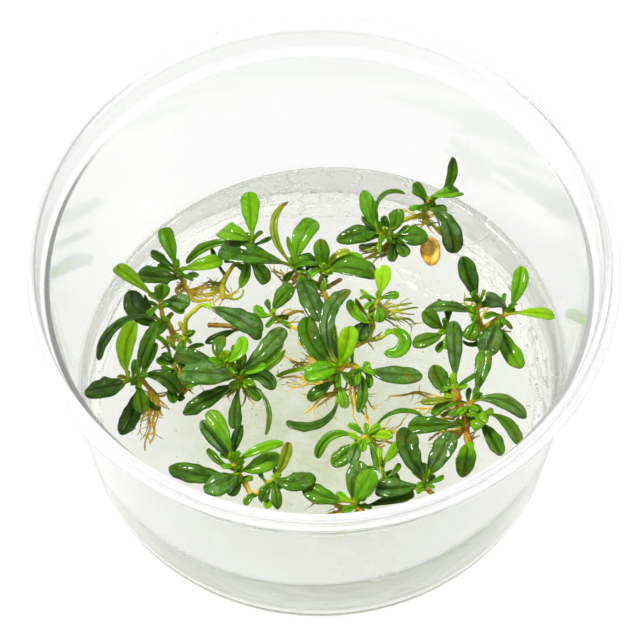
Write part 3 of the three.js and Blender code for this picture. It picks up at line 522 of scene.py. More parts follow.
# How far the base of a leaf is drawn out and how pointed its tip is, where the photo shows it plainly
OUTLINES = {
    "a1": (1.1, 0.34), "b1": (1.3, 0.36), "c1": (0.9, 0.5), "c7": (1.0, 0.55), "d1": (0.95, 0.26),
    "e1": (0.6, 0.3), "e7": (0.9, 0.36), "g1": (0.8, 0.5), "h1": (1.1, 0.4), "i1": (0.9, 0.36),
    "i4": (0.6, 0.45), "j8": (0.5, 0.3), "m1": (0.7, 0.34), "m3": (0.7, 0.34), "n1": (0.9, 0.4),
    "n15": (0.7, 0.55), "withered": (0.5, 0.5),
}

# The loose leaf: its start (x, y, height over the gel), then heading, rise, length, width, droop and sweep
WITHERED_START = (20.2, 26.6, 0.9)
WITHERED_SHAPE = (268, 15, 6.6, 3.8, 35, 8)
WITHERED_FIRST_SHARE = PETIOLE_SHARE + 0.02

# What a material reads at each point of a mesh: the share of the body's length, how far across it is from
# -1 to 1, its top (1) or underside (-1), and a number of its own
VALUES = ("along", "across", "side", "seed")
SHARP_ANGLE = 55

# The linear colours of each look: the blade and its darker blotches, the leaf's base, the midrib and the
# silvery bloom with painted sheen, then how strong that bloom and sheen and the brown spots are, and the
# roughness under the wet film
MIDRIB_BROWN = (0.061, 0.034, 0.010)
TISSUES = {
    "yellow": {
        "blade": (0.24, 0.50, 0.0), "deep": (0.14, 0.36, 0.0), "base": (0.38, 0.46, 0.01),
        "rib": (0.28, 0.42, 0.005), "bloom_and_sheen": (0.34, 0.56, 0.004),
        "bloom_and_sheen_amount": 0.4, "browning": 0.5, "roughness": 0.3,
    },
    "bright": {
        "blade": (0.13, 0.38, 0.0), "deep": (0.06, 0.22, 0.0), "base": (0.34, 0.42, 0.01),
        "rib": (0.14, 0.26, 0.005), "bloom_and_sheen": (0.2, 0.44, 0.004),
        "bloom_and_sheen_amount": 0.4, "browning": 0.4, "roughness": 0.28,
    },
    "green": {
        "blade": (0.10, 0.28, 0.0), "deep": (0.035, 0.13, 0.0), "base": (0.3, 0.38, 0.01),
        "rib": (0.045, 0.06, 0.006), "bloom_and_sheen": (0.15, 0.32, 0.01),
        "bloom_and_sheen_amount": 0.4, "browning": 0.35, "roughness": 0.27,
    },
    "dark": {
        "blade": (0.062, 0.18, 0.0), "deep": (0.016, 0.06, 0.001), "base": (0.22, 0.28, 0.01),
        "rib": MIDRIB_BROWN, "bloom_and_sheen": (0.10, 0.22, 0.03),
        "bloom_and_sheen_amount": 0.4, "browning": 0.3, "roughness": 0.25,
    },
    "silver": {
        "blade": (0.07, 0.19, 0.005), "deep": (0.022, 0.08, 0.002), "base": (0.24, 0.31, 0.015),
        "rib": MIDRIB_BROWN, "bloom_and_sheen": (0.17, 0.29, 0.10),
        "bloom_and_sheen_amount": 0.6, "browning": 0.3, "roughness": 0.27,
    },
    "olive": {
        "blade": (0.26, 0.34, 0.006), "deep": (0.14, 0.2, 0.003), "base": (0.36, 0.38, 0.02),
        "rib": (0.26, 0.22, 0.01), "bloom_and_sheen": (0.36, 0.42, 0.02),
        "bloom_and_sheen_amount": 0.3, "browning": 0.9, "roughness": 0.32,
    },
}

# The thin gloss of water on the leaves
WET_FILM = {"Specular IOR Level": 0.05, "Coat Weight": 0.35, "Coat Roughness": 0.08}

# How brown each plantlet's stem is, from olive at 0 to reddish brown at 1
STEM_SHADES = {
    "a": 0.45, "b": 0.75, "c": 0.7, "d": 0.15, "e": 0.8, "f": 0.5, "g": 0.75, "h": 0.25, "i": 0.75,
    "j": 0.2, "k": 0.4, "l": 0.55, "m": 0.5, "n": 0.95, "o": 0.4, "q": 0.3, "r": 0.25, "s": 0.55, "t": 1.0,
}

# The tub's plastic, milkier in the rim and clearer where the gel wets it
PLASTIC_IOR = 1.49
PLASTICS = {
    "tub_wall": {"colour": (0.85, 0.855, 0.853), "roughness": 0.1, "transmission": 0.975},
    "tub_rim": {"colour": (0.94, 0.943, 0.947), "roughness": 0.24, "transmission": 0.74},
}
WET_PLASTIC = (0.985, 0.988, 0.985)
WET_ROUGHNESS = 0.13
WET_FADE = (0.4, -0.2)

# The gel, and the painted shade and green light of the plants on its surface, strongest round one place
GEL_IOR = 1.34
GEL_ABSORPTION = (0.81, 0.872, 0.58)
GEL_DENSITY = 15
GEL_ROUGHNESS = 0.02
TORN_ROUGHNESS = 0.6
GEL_SURFACE = (-1.5, -0.8)
WHITE = (1.0, 1.0, 1.0)
# Painted shade and green light from the plants: its colour on the gel's surface, the place where it is
# strongest, and how far it reaches
PAINTED_SHADE_GREEN = (0.69, 0.74, 0.52)
PAINTED_SHADE_CENTRE = (-1, -9, 17.6)
PAINTED_SHADE_REACH = 37
PAINTED_SHADE_HEART = 8

# Stage, light and camera, in metres. A strength is in watts for the lamps.
FLOOR_REACH = 3.0
FLOOR_GREY = (0.12, 0.12, 0.12)
FLOOR_LIGHT = 0.98
HORIZON_LIGHT = 0.9
ZENITH_LIGHT = 0.45
HORIZON_SPAN = (0.3, 0.8)
LIT_POINT = (0, 0, 0.02)
KEY_LIGHT = {"place": (-0.42, 0.12, 0.72), "size": 0.2, "power": 9}
FILL_LIGHT = {"place": (0.5, -0.1, 0.6), "size": 0.4, "power": 2.4}
CAMERA_PLACE = (0.0001, -0.2174, 0.4071)
CAMERA_DIP = 59.79
FOCAL_PIXELS = 2500
PHOTO_PIXELS = 640
SENSOR_WIDTH = 36
NEAREST_SEEN = 0.01
LIGHT_BOUNCES = 24


# Meshes

def add_to_scene(name, data):
    thing = bpy.data.objects.new(name, data)
    bpy.context.scene.collection.objects.link(thing)
    return thing


def point_values(rows, sides, along=0, across=0, side=0, seed=0):
    """The values of the points of a body's rings, in the order of VALUES."""
    values = np.zeros((rows, sides, len(VALUES)))
    for column, value in enumerate((along, across, side, seed)):
        values[:, :, column] = value
    return values


class Shape:
    """Closed bodies in millimetres, with the values that their material reads at each point."""

    def __init__(self):
        self.points = []
        self.values = []
        self.faces = []
        self.count = 0

    def add_rings(self, rings, values, start, end):
        """A closed body through rings, each listed anticlockwise round the direction of travel."""
        count, sides, _ = rings.shape
        first, last = values[0, 0].copy(), values[-1, 0].copy()
        first[1], last[1] = 0, 0
        faces = []
        end_corner = 1 + count * sides
        final = end_corner - sides
        for side in range(sides):
            after = (side + 1) % sides
            faces.append((0, 1 + after, 1 + side))
            for here in range(1, final, sides):
                beyond = here + sides
                faces.append((here + side, here + after, beyond + after, beyond + side))
            faces.append((end_corner, final + side, final + after))
        self.points.append(np.vstack([start, rings.reshape(-1, 3), end]))
        self.values.append(np.vstack([first, values.reshape(-1, len(VALUES)), last]))
        self.faces.extend(tuple(self.count + corner for corner in face) for face in faces)
        self.count += end_corner + 1

    def make(self, name, material, slot, replaced=()):
        mesh = bpy.data.meshes.new(name)
        mesh.from_pydata((np.vstack(self.points) * MM).tolist(), [], self.faces)
        values = np.vstack(self.values)
        for column, value in enumerate(VALUES):
            attribute = mesh.attributes.new(value, "FLOAT", "POINT")
            attribute.data.foreach_set("value", values[:, column].astype(np.float32))
        mesh.materials.append(material)
        mesh.shade_smooth()
        mesh.set_sharp_from_angle(angle=math.radians(SHARP_ANGLE))
        piece = add_to_scene(name, mesh)
        if replaced:
            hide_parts(*replaced)
        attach(piece, "root")
        return piece


# Formulas and curves

def unit(vector):
    return vector / np.linalg.norm(vector)


def bell(offset, width):
    return np.exp(-(offset / width) ** 2)


def circle(sides):
    """The cosines and sines of even steps round a circle."""
    angles = np.linspace(0, 2 * math.pi, sides, endpoint=False)
    return np.cos(angles), np.sin(angles)


def gel_height(x, y):
    return GEL_LEVEL + GEL_SLOPE_X * x + GEL_SLOPE_Y * y


def on_gel(point, radius=0.0):
    x, y, height = point
    return np.array([x, y, gel_height(x, y) + max(height, radius)])


def inner_wall_radius(height):
    share = (height - INNER_FOOT_HEIGHT) / (SHOULDER_HEIGHT - INNER_FOOT_HEIGHT)
    return INNER_FOOT_RADIUS + share * (SHOULDER_RADIUS - INNER_FOOT_RADIUS)


def blend(a, b, start, end, t):
    """What lies at t on the straight way from a at start to b at end."""
    return (end - t) / (end - start) * a + (t - start) / (end - start) * b


def smooth_line(points, steps):
    """A centripetal Catmull-Rom line through the points."""
    points = [np.asarray(point, float) for point in points]
    ends = [2 * points[0] - points[1], *points, 2 * points[-1] - points[-2]]
    line = []
    for index in range(len(points) - 1):
        p0, p1, p2, p3 = ends[index:index + 4]
        t0 = 0.0
        t1 = t0 + math.sqrt(np.linalg.norm(p1 - p0))
        t2 = t1 + math.sqrt(np.linalg.norm(p2 - p1))
        t3 = t2 + math.sqrt(np.linalg.norm(p3 - p2))
        for t in np.linspace(t1, t2, steps, endpoint=False):
            before = blend(p0, p1, t0, t1, t)
            between = blend(p1, p2, t1, t2, t)
            after = blend(p2, p3, t2, t3, t)
            near_start = blend(before, between, t0, t2, t)
            near_end = blend(between, after, t1, t3, t)
            line.append(blend(near_start, near_end, t1, t2, t))
    line.append(points[-1])
    return np.array(line)


def point_at(line, share):
    """The point at a share of the line's length."""
    lengths = np.linalg.norm(np.diff(line, axis=0), axis=1)
    travelled = np.concatenate([[0], np.cumsum(lengths)])
    target = share * travelled[-1]
    return np.array([np.interp(target, travelled, line[:, axis]) for axis in range(3)])


def tube(shape, line, radii, sides, seed):
    """A round body along a line, whose rings don't twist."""
    along = np.gradient(line, axis=0)
    along /= np.linalg.norm(along, axis=1)[:, None]
    across = np.array([0.3, -0.2, 0.93])  # any direction that no line starts along
    cosines, sines = circle(sides)
    rings = []
    for point, direction, radius in zip(line, along, radii):
        across = unit(across - across.dot(direction) * direction)
        up = np.cross(direction, across)
        rings.append(point + radius * (np.outer(cosines, across) + np.outer(sines, up)))
    shares = np.linspace(0, 1, len(line))[:, None]
    values = point_values(len(line), sides, along=shares, across=cosines, seed=seed)
    start = line[0] - along[0] * radii[0] * FOOT_BULGE
    end = line[-1] + along[-1] * radii[-1] * TIP_BULGE
    shape.add_rings(np.array(rings), values, start, end)


# Leaves

def blade_share(share, base_power, tip_power):
    """The share of its full width that a leaf has at a share of its length, widest past the middle.
    A high base power draws the base out, and a high tip power sharpens the tip."""
    t = np.clip((share - PETIOLE_SHARE) / (1 - PETIOLE_SHARE), 0, 1)
    widest = base_power / (base_power + tip_power)
    return (t / widest) ** base_power * ((1 - t) / (1 - widest)) ** tip_power


def directions(heading, rise):
    turn, climb = np.radians(heading), np.radians(rise)
    return np.stack([np.cos(climb) * np.cos(turn), np.cos(climb) * np.sin(turn), np.sin(climb)], 1)


def midrib(start, row, shares):
    """Points along the midrib, whose heading and rise turn evenly, and its three directions there."""
    heading, rise, length, _, droop, sweep = row
    middles = (np.arange(MIDRIB_STEPS) + 0.5) / MIDRIB_STEPS
    moves = directions(heading + sweep * middles, rise - droop * middles)
    path = np.vstack([start, start + np.cumsum(moves, 0) * length / MIDRIB_STEPS])
    knots = np.linspace(0, 1, MIDRIB_STEPS + 1)
    points = np.stack([np.interp(shares, knots, path[:, axis]) for axis in range(3)], 1)
    along = directions(heading + sweep * shares, rise - droop * shares)
    turn = np.radians(heading + sweep * shares)
    across = np.stack([np.sin(turn), -np.cos(turn), 0 * turn], 1)
    return points, along, across, np.cross(across, along)


def blade_section():
    """Round a blade's section: how far across each point is, and 1 for the top or -1 for the underside."""
    spots = np.concatenate([-HALF_BLADE[::-1], [0], HALF_BLADE])
    under = spots[-2:0:-1]
    return np.concatenate([spots, under]), np.concatenate([np.ones_like(spots), -np.ones_like(under)])


def row_shares(length, first_share):
    """Where the rows of a blade lie along it, closer together towards its tip."""
    even = np.linspace(0, 1, BIG_LEAF_ROWS if length >= BIG_LEAF else LEAF_ROWS)
    crowded = ROW_CROWDING * np.sin(even * math.pi / 2) + (1 - ROW_CROWDING) * even
    return first_share + (LAST_ROW - first_share) * crowded


def half_widths(width, shares, blade):
    """Half the leaf's width at each row, which is the petiole's until the blade widens."""
    petiole = np.where(shares > PETIOLE_END, 0, PETIOLE_WIDTH / 2 * (1 - blade) ** 0.5)
    return np.maximum(width / 2 * blade, petiole)[:, None]


def blade_waves(u, shares, length, chance):
    """The fold, arch and waves of a blade, in half widths, and where its points are in a wave."""
    off_rib = np.abs(u)
    fold, arch, wave = [chance.uniform(*extent) for extent in (FOLDS, ARCHES, WAVES)]
    waves = chance.uniform(*WAVE_COUNTS) * length / USUAL_LENGTH
    cycle = 2 * math.pi * waves * shares[:, None] + chance.uniform(0, 2 * math.pi) + np.sign(u) * WAVE_LAG
    height = fold * off_rib + arch * np.sin(math.pi * off_rib) + wave * u ** 2 * np.sin(cycle)
    return height + CRINKLE * np.sin(3.1 * cycle + 5 * u) * np.sin(math.pi * off_rib), cycle


def leaf(shape, start, row, seed, first_share=0.0, groove_depth=GROOVE_DEPTH):
    """A blade with a midrib groove, a keel below it, arched halves and wavy margins."""
    length, width = row[2:4]
    chance = random.Random(seed)
    shares = row_shares(length, first_share)
    points, along, across, up = midrib(start, row, shares)
    roll = math.radians(chance.uniform(*ROLLS)) * shares[:, None]
    across, up = across * np.cos(roll) + up * np.sin(roll), up * np.cos(roll) - across * np.sin(roll)
    base_power, tip_power = OUTLINES.get(seed, (chance.uniform(*BASE_POWERS), chance.uniform(*TIP_POWERS)))
    blade = blade_share(shares, base_power, tip_power)
    half = half_widths(width, shares, blade)
    flatness = np.clip(blade * FLATTENING, 0, 1)[:, None]
    u, face = blade_section()
    waves, cycle = blade_waves(u, shares, length, chance)
    groove = -groove_depth * bell(u, GROOVE_WIDTH) * (face > 0) * flatness
    keel = -KEEL_DEPTH * bell(u, KEEL_WIDTH) * (face < 0) * flatness
    thick = PETIOLE_WIDTH * (1 - flatness) * PETIOLE_FLATNESS + BLADE_THICKNESS * flatness
    lens = face * thick / 2 * np.sqrt(np.clip(1 - np.abs(u) ** (2 + 4 * flatness), 0, 1))
    lift = waves * half * flatness + groove + keel + lens
    off_edge = flatness * np.abs(u)
    edge = 1 + EDGE_WAVE * off_edge * np.sin(1.3 * cycle + 2) - EDGE_ROUNDING * off_edge
    rings = (points[:, None, :] + across[:, None, :] * (half * u * edge)[:, :, None]
             + up[:, None, :] * lift[:, :, None])
    values = point_values(len(shares), len(u), shares[:, None], u, face, chance.random())
    end = midrib(start, row, np.array([1.0]))[0][0]
    shape.add_rings(rings[:, ::-1], values[:, ::-1], points[0] - along[0] * LEAF_FOOT, end)


# Stems and roots

def root_line(start, heading, length, sweep, chance):
    """A root comes down to the gel within its first third, then wanders over it."""
    steps = max(LEAST_ROOT_STEPS, round(length * ROOT_STEPS_PER_MM))
    wander = chance.uniform(*ROOT_WANDERS)
    phase = chance.uniform(0, 2 * math.pi)
    start_height = start[2] - gel_height(start[0], start[1])
    points = [start]
    for step in range(1, steps + 1):
        share = step / steps
        settled = min(share * ROOT_SETTLING, 1)
        turn = math.radians(heading + sweep * (share - 0.5 / steps)
                            + wander * math.sin(phase + share * length * ROOT_WANDER_PACE) * settled)
        x = points[-1][0] + math.cos(turn) * length / steps
        y = points[-1][1] + math.sin(turn) * length / steps
        height = start_height + (ROOT_REST - start_height) * settled
        points.append(np.array([x, y, gel_height(x, y) + height]))
    return np.array(points)


def either_way(chance, extent):
    """A turn to the left or to the right."""
    return chance.choice((-1, 1)) * chance.uniform(*extent)


def add_root(shape, start, heading, length, sweep, shade, chance):
    """One root of the table, with thinner ones beside it and short rootlets along them."""
    for strand in range(2 + sum(more for least, more in MORE_STRANDS if length >= least)):
        main = strand == 0
        aim = heading + (0 if main else either_way(chance, STRAND_SPREADS))
        reach = length * (1 if main else chance.uniform(*STRAND_REACHES))
        line = root_line(start, aim, reach, sweep + chance.uniform(*STRAND_SWEEPS), chance)
        seed = float(np.clip(shade + chance.uniform(*SHADE_CHANGES), *ROOT_SHADES))
        thickness = ROOT_RADIUS * (MAIN_STRAND if main else chance.uniform(*STRAND_THICKNESSES))
        tube(shape, line, thickness * np.linspace(*ROOT_TAPER, len(line)), ROOT_SIDES, seed)
        for _ in range(max(1, round(reach / ROOTLET_SPACING))):
            index = chance.randrange(len(line) // 4, len(line) - 1)
            side_aim = aim + sweep * index / len(line) + either_way(chance, ROOTLET_SPREADS)
            side_length = chance.uniform(*ROOTLET_LENGTHS)
            side = root_line(line[index], side_aim, side_length, chance.uniform(*ROOTLET_SWEEPS), chance)
            radii = ROOT_RADIUS * np.linspace(*ROOTLET_TAPER, len(side))
            tube(shape, side, radii, ROOTLET_SIDES, seed)


def add_stubs(shape, line, chance):
    """The short young roots round the foot of a shoot."""
    for _ in range(STUBS):
        start = point_at(line, chance.uniform(*STUB_PLACES))
        heading, length = chance.uniform(0, 360), chance.uniform(*STUB_LENGTHS)
        stub = root_line(start, heading, length, chance.uniform(*STUB_SWEEPS), chance)
        radii = ROOT_RADIUS * np.linspace(*STUB_TAPER, len(stub))
        tube(shape, stub, radii, ROOT_SIDES, chance.uniform(*STUB_SHADES))


def add_stem(shape, line, radius, places, shade):
    """An uneven stem with a ring-shaped scar at each leaf."""
    shares = np.linspace(0, 1, len(line))
    slenderness = THICK_STEM_SLENDERNESS if radius > STEM_RADIUS else STEM_SLENDERNESS
    lumps = 1 + STEM_UNEVENNESS * np.sin(23 * shares + 40 * shade)
    radii = radius * slenderness * (1 - STEM_TAPER * shares) * lumps
    for place in places:
        radii = radii * (1 + SCAR_HEIGHT * bell(shares - place, SCAR_WIDTH))
    radii[-len(STEM_TIP):] *= np.array(STEM_TIP)
    tube(shape, line, radii, STEM_SIDES, shade)


# Plantlets

def add_young_leaves(groups, line, chance):
    """The small leaves at the heart of a shoot."""
    turn = 360 / YOUNG_LEAVES
    for index in range(YOUNG_LEAVES):
        group = groups.setdefault(chance.choice(YOUNG_LOOKS), Shape())
        heading = turn * index + chance.uniform(0, turn)
        row = (heading, *(chance.uniform(*extent) for extent in YOUNG_LEAF))
        leaf(group, point_at(line, chance.uniform(*YOUNG_PLACES)), row, chance.random())


def add_sheath(shape, start, row, chance):
    """The short pointed scale that wraps a leaf's base."""
    heading = row[0] + chance.uniform(*SHEATH_TURNS)
    rise = min(row[1] + chance.uniform(*SHEATH_RISES), STEEPEST_SHEATH)
    scale = (heading, rise, *(chance.uniform(*extent) for extent in SHEATH))
    leaf(shape, start, scale, chance.random())


def slot_of(look):
    """The slot name of a look, which make takes but doesn't read. Olive leaves get the yellow ones' slot
    name.
    """
    return "leaf_yellow" if look == "olive" else f"leaf_{look}"


def add_plantlet(letter, roots, looks, stem_material):
    """A mesh for the stems and roots, one for each separate leaf and one for the rest of each look."""
    radius = THICK_STEM_RADIUS if letter in THICK_STEMS else STEM_RADIUS
    shade = STEM_SHADES[letter]
    chance = random.Random("stem " + letter)
    stem = Shape()
    lines = []
    groups = {"yellow": Shape()}
    for points, leaves in [shoot[1:] for shoot in SHOOTS if shoot[0] == letter]:
        line = smooth_line([on_gel(point, radius) for point in points], LINE_STEPS)
        lines.append(line)
        add_stem(stem, line, radius, [row[1] for row in leaves], shade)
        if points[0][2] <= GROUND_HEIGHT and roots:
            add_stubs(stem, line, chance)
        for name, place, *row, look in leaves:
            start = point_at(line, place)
            if name in SEPARATE_LEAVES:
                single = Shape()
                leaf(single, start, row, name)
                single.make(f"blade_{name}", looks[look], slot_of(look), [f"leaf_{name}"])
            else:
                leaf(groups.setdefault(look, Shape()), start, row, name)
            if row[2] >= BIG_LEAF:
                add_sheath(groups["yellow"], start, row, chance)
        if len(leaves) > 1:
            add_young_leaves(groups, line, chance)
    for shoot, place, heading, length, sweep in roots:
        add_root(stem, point_at(lines[shoot], place), heading, length, sweep, shade, chance)
    stem.make(f"stem_and_roots_{letter}", stem_material, "stem", [f"stem_{letter}"])
    for look, group in groups.items():
        group.make(f"leaves_{letter}_{look}", looks[look], slot_of(look))


# Tub

def lathe(shape, profile, sides):
    """A body of revolution through a profile (radius, height) that starts and ends on the axis."""
    cosines, sines = circle(sides)
    radii, heights = np.array(profile[1:-1]).T[:, :, None]
    rings = np.stack([radii * cosines, radii * sines, np.repeat(heights, sides, 1)], 2)
    foot, top = [np.array([0, 0, height]) for _, height in (profile[0], profile[-1])]
    shape.add_rings(rings, point_values(len(radii), sides), foot, top)


def rounded(corners):
    """A profile whose corners (radius, height, rounding) are turned into arcs."""
    points = []
    for index, (x, z, rounding) in enumerate(corners):
        if rounding == 0 or index == 0:
            points.append((x, z))
            continue
        here = np.array([x, z], float)
        before, after = [np.array(corners[beside][:2], float) - here for beside in (index - 1, index + 1)]
        start = here + unit(before) * min(rounding, np.linalg.norm(before) * ARC_SHARE)
        end = here + unit(after) * min(rounding, np.linalg.norm(after) * ARC_SHARE)
        for t in np.linspace(0, 1, CORNER_STEPS):
            points.append(tuple((1 - t) ** 2 * start + 2 * t * (1 - t) * here + t ** 2 * end))
    return points


def inside_corners():
    """The corners of the wall and floor that the gel lies against, from the shoulder to the axis."""
    return [
        (SHOULDER_RADIUS, SHOULDER_HEIGHT, 0.5),
        (INNER_FOOT_RADIUS, INNER_FOOT_HEIGHT, 1.5),
        (FLOOR_RADIUS, FLOOR_TOP, 1.5),
        (0, FLOOR_TOP, 0),
    ]


def make_tub(wall_material, rim_material):
    """One moulding, turned from its underside up the outside, over the rim and down the inside."""
    foot_inside = FOOT_RADIUS - FOOT_WIDTH
    floor_bottom = FLOOR_TOP - FLOOR_THICKNESS
    wall_top = WALL_FOOT_RADIUS + WALL_TAPER * COLLAR_BOTTOM
    corners = [
        (0, floor_bottom, 0),
        (foot_inside - FLOOR_THICKNESS, floor_bottom, 0.5),
        (foot_inside, floor_bottom - FLOOR_THICKNESS, 0.3),
        (foot_inside, 0, 0.2),
        (FOOT_RADIUS, 0, 0.3),
        (WALL_FOOT_RADIUS, FOOT_WIDTH, 0.6),
        (wall_top, COLLAR_BOTTOM, 0.4),
        (COLLAR_RADIUS, COLLAR_BOTTOM, 0.4),
        (FLANGE_INSIDE, COLLAR_TOP, 0.4),
        (RIM_RADIUS, FLANGE_BOTTOM, 0.3),
        (RIM_RADIUS, FLANGE_TOP, 0.35),
        (FLANGE_INSIDE, FLANGE_TOP, 0.25),
        (FLANGE_INSIDE - EDGE, TUB_HEIGHT, 0.25),
        (BEAD_INSIDE + EDGE, TUB_HEIGHT, 0.3),
        (BEAD_INSIDE, TUB_HEIGHT - EDGE, 0.3),
        (BEAD_INSIDE - EDGE, SHOULDER_HEIGHT + EDGE, 0.3),
        *inside_corners(),
    ]
    shape = Shape()
    lathe(shape, rounded(corners), TUB_SIDES)
    tub = shape.make("tub_shell", wall_material, "tub_plastic", ["tub"])
    tub.data.materials.append(rim_material)
    for face in tub.data.polygons:
        if min(tub.data.vertices[corner].co.z for corner in face.vertices) > MM * (COLLAR_BOTTOM + EDGE):
            face.material_index = 1


# Gel

def off_segment(x, y, start, end):
    """The distance from a segment, and the share of its length that lies beside each point."""
    along = np.subtract(end, start)
    share = np.clip(((x - start[0]) * along[0] + (y - start[1]) * along[1]) / along.dot(along), 0, 1)
    return np.hypot(x - start[0] - share * along[0], y - start[1] - share * along[1]), share


def gel_relief(x, y):
    """The gel's low swell and ripples, its patches of wrinkles, and the cuts with their raised lips."""
    relief = SWELL * np.sin(0.21 * x + 0.9) * np.sin(0.17 * y + 0.4)
    relief += SLANTED_SWELL * np.sin(0.5 * x - 0.43 * y + 1)
    relief += RIPPLE * np.sin(1.3 * x + 0.7 * np.sin(0.6 * y)) * np.sin(1.1 * y + 0.9 * np.sin(0.5 * x + 1))
    for centre_x, centre_y, reach, heading, spacing, depth in WRINKLES:
        turn = math.radians(heading)
        u = (x - centre_x) * math.cos(turn) + (y - centre_y) * math.sin(turn)
        v = (y - centre_y) * math.cos(turn) - (x - centre_x) * math.sin(turn)
        fade = np.exp(-(u / reach) ** 2 - (v / (reach * PATCH_NARROWNESS)) ** 2)
        relief += depth * fade * np.sin(2 * math.pi * (v + WRINKLE_WANDER * np.sin(u * 0.9)) / spacing)
    for start, end, depth in GEL_CUTS:
        distance, share = off_segment(x, y, start, end)
        relief -= depth * bell(distance, CUT_WIDTH) * np.sin(math.pi * share) ** 0.5
        relief += CUT_LIP * depth * bell(distance - 2 * CUT_WIDTH, CUT_WIDTH) * np.sin(math.pi * share)
    return relief


def torn_share(x, y):
    """How torn, and so how rough, the gel is: 1 in the middle of the deepest cut."""
    torn = np.zeros_like(x)
    for start, end, depth in GEL_CUTS:
        distance, share = off_segment(x, y, start, end)
        line = bell(distance, TORN_WIDTH) * np.sin(math.pi * share) ** 0.5
        torn = np.maximum(torn, line * min(1, LEAST_TORN + depth))
    return torn


def add_hollow_ball(shape, middle, size):
    tilts = np.linspace(0, math.pi, BALL_RINGS + 2)[1:-1]
    cosines, sines = circle(BALL_SIDES)
    rings = np.stack([
        np.outer(np.sin(tilts), cosines),
        np.outer(np.sin(tilts), -sines),
        np.repeat(-np.cos(tilts)[:, None], BALL_SIDES, 1)], 2)
    top = np.array([0, 0, size])
    shape.add_rings(middle + size * rings, point_values(BALL_RINGS, BALL_SIDES), middle - top, middle + top)


def add_bubbles(shape):
    """Air bubbles as closed hollows in the gel: the ones along its right edge, and some anywhere."""
    chance = random.Random("bubbles")
    spots = []
    first_turn, last_turn = EDGE_BUBBLE_TURNS
    for index in range(EDGE_BUBBLES):
        place = index + chance.uniform(*EDGE_BUBBLE_STRAYS)
        turn = math.radians(first_turn + (last_turn - first_turn) * place / EDGE_BUBBLES)
        spots.append((turn, chance.uniform(*EDGE_BUBBLE_RADII)))
    for _ in range(LOOSE_BUBBLES):
        spots.append((chance.uniform(0, 2 * math.pi), LOOSE_BUBBLE_REACH * math.sqrt(chance.random())))
    for turn, radius in spots:
        x, y = radius * math.cos(turn), radius * math.sin(turn)
        size = chance.uniform(*BUBBLE_SIZES)
        depth = size + BUBBLE_COVER + chance.uniform(*BUBBLE_DEPTHS)
        add_hollow_ball(shape, np.array([x, y, gel_height(x, y) + gel_relief(x, y) - depth]), size)


def gel_side_rings():
    """The gel's rings over the floor and up the wall, a hair inside the plastic."""
    cosines, sines = circle(GEL_SIDES)
    outline = [(FLOOR_RADIUS * share, FLOOR_TOP - GEL_CONTACT) for share in np.linspace(*GEL_FLOOR_SHARES)]
    for radius, height in rounded(inside_corners())[::-1][1:-1]:
        outline.append((radius + GEL_CONTACT, height - GEL_CONTACT))
    for height in GEL_WALL_HEIGHTS:
        outline.append((inner_wall_radius(height) + GEL_CONTACT, height))
    return [np.stack([radius * cosines, radius * sines, np.full(GEL_SIDES, height)], 1)
            for radius, height in outline]


def gel_wall_ring(lift):
    """A ring on the wall at a height over the gel's plane."""
    cosines, sines = circle(GEL_SIDES)
    guess = inner_wall_radius(GEL_LEVEL)
    height = gel_height(guess * cosines, guess * sines) + lift
    radius = inner_wall_radius(height) + GEL_CONTACT
    return np.stack([radius * cosines, radius * sines, height], 1)


def gel_surface_rings():
    """The rings of the meniscus and of the surface with its relief, from the wall to the middle."""
    cosines, sines = circle(GEL_SIDES)
    edge = gel_wall_ring(0)
    edge_radius = np.hypot(edge[:, 0], edge[:, 1])
    insets = np.concatenate([MENISCUS_WIDTH * np.linspace(*MENISCUS_SHARES) ** 1.5, [SURFACE_START]])
    radii = [edge_radius - inset for inset in insets]
    radii += [(edge_radius - SURFACE_START) * share for share in np.linspace(*SURFACE_SHARES, GEL_RINGS)]
    rings = []
    for radius in radii:
        x, y = radius * cosines, radius * sines
        off_wall = edge_radius - radius
        climb = MENISCUS * np.clip(1 - off_wall / MENISCUS_WIDTH, 0, 1) ** 2
        fade = np.clip(off_wall / RELIEF_FADE, 0, 1)
        rings.append(np.stack([x, y, gel_height(x, y) + climb + fade * gel_relief(x, y)], 1))
    return rings


def make_gel(material):
    """The gel reaches a hair into the plastic, so that light crosses over as it does in contact."""
    wall_rings = [gel_wall_ring(MENISCUS - WALL_RING_GAP), gel_wall_ring(MENISCUS)]
    rings = np.array(gel_side_rings() + wall_rings + gel_surface_rings())
    x, y, z = rings[:, :, 0], rings[:, :, 1], rings[:, :, 2]
    on_top = z > gel_height(x, y) - SURFACE_DEPTH
    floor_middle = np.array([0, 0, FLOOR_TOP - GEL_CONTACT])
    middle = np.array([0, 0, gel_height(0, 0) + float(gel_relief(0.0, 0.0))])
    shape = Shape()
    values = point_values(len(rings), GEL_SIDES, along=on_top * torn_share(x, y))
    shape.add_rings(rings, values, floor_middle, middle)
    add_bubbles(shape)
    shape.make("gel_layer", material, "gel", ["gel"])


# Materials

def rgba(colour):
    return (*colour, 1.0) if isinstance(colour, tuple) else colour


def linear(red, green, blue):
    """The linear colour of a screen colour from 0 to 255."""
    return tuple(((value / 255 + 0.055) / 1.055) ** 2.4 if value > 10 else value / 255 / 12.92
                 for value in (red, green, blue))


def new_material(name, numbers):
    """A material with one shader, and the numbers and colours that its sockets hold."""
    material = bpy.data.materials.new(name)
    material.use_nodes = True
    nodes = material.node_tree.nodes
    nodes.clear()
    output = nodes.new("ShaderNodeOutputMaterial")
    shader = nodes.new("ShaderNodeBsdfPrincipled")
    material.node_tree.links.new(shader.outputs["BSDF"], output.inputs["Surface"])
    for socket, number in numbers.items():
        shader.inputs[socket].default_value = rgba(number)
    return material, shader


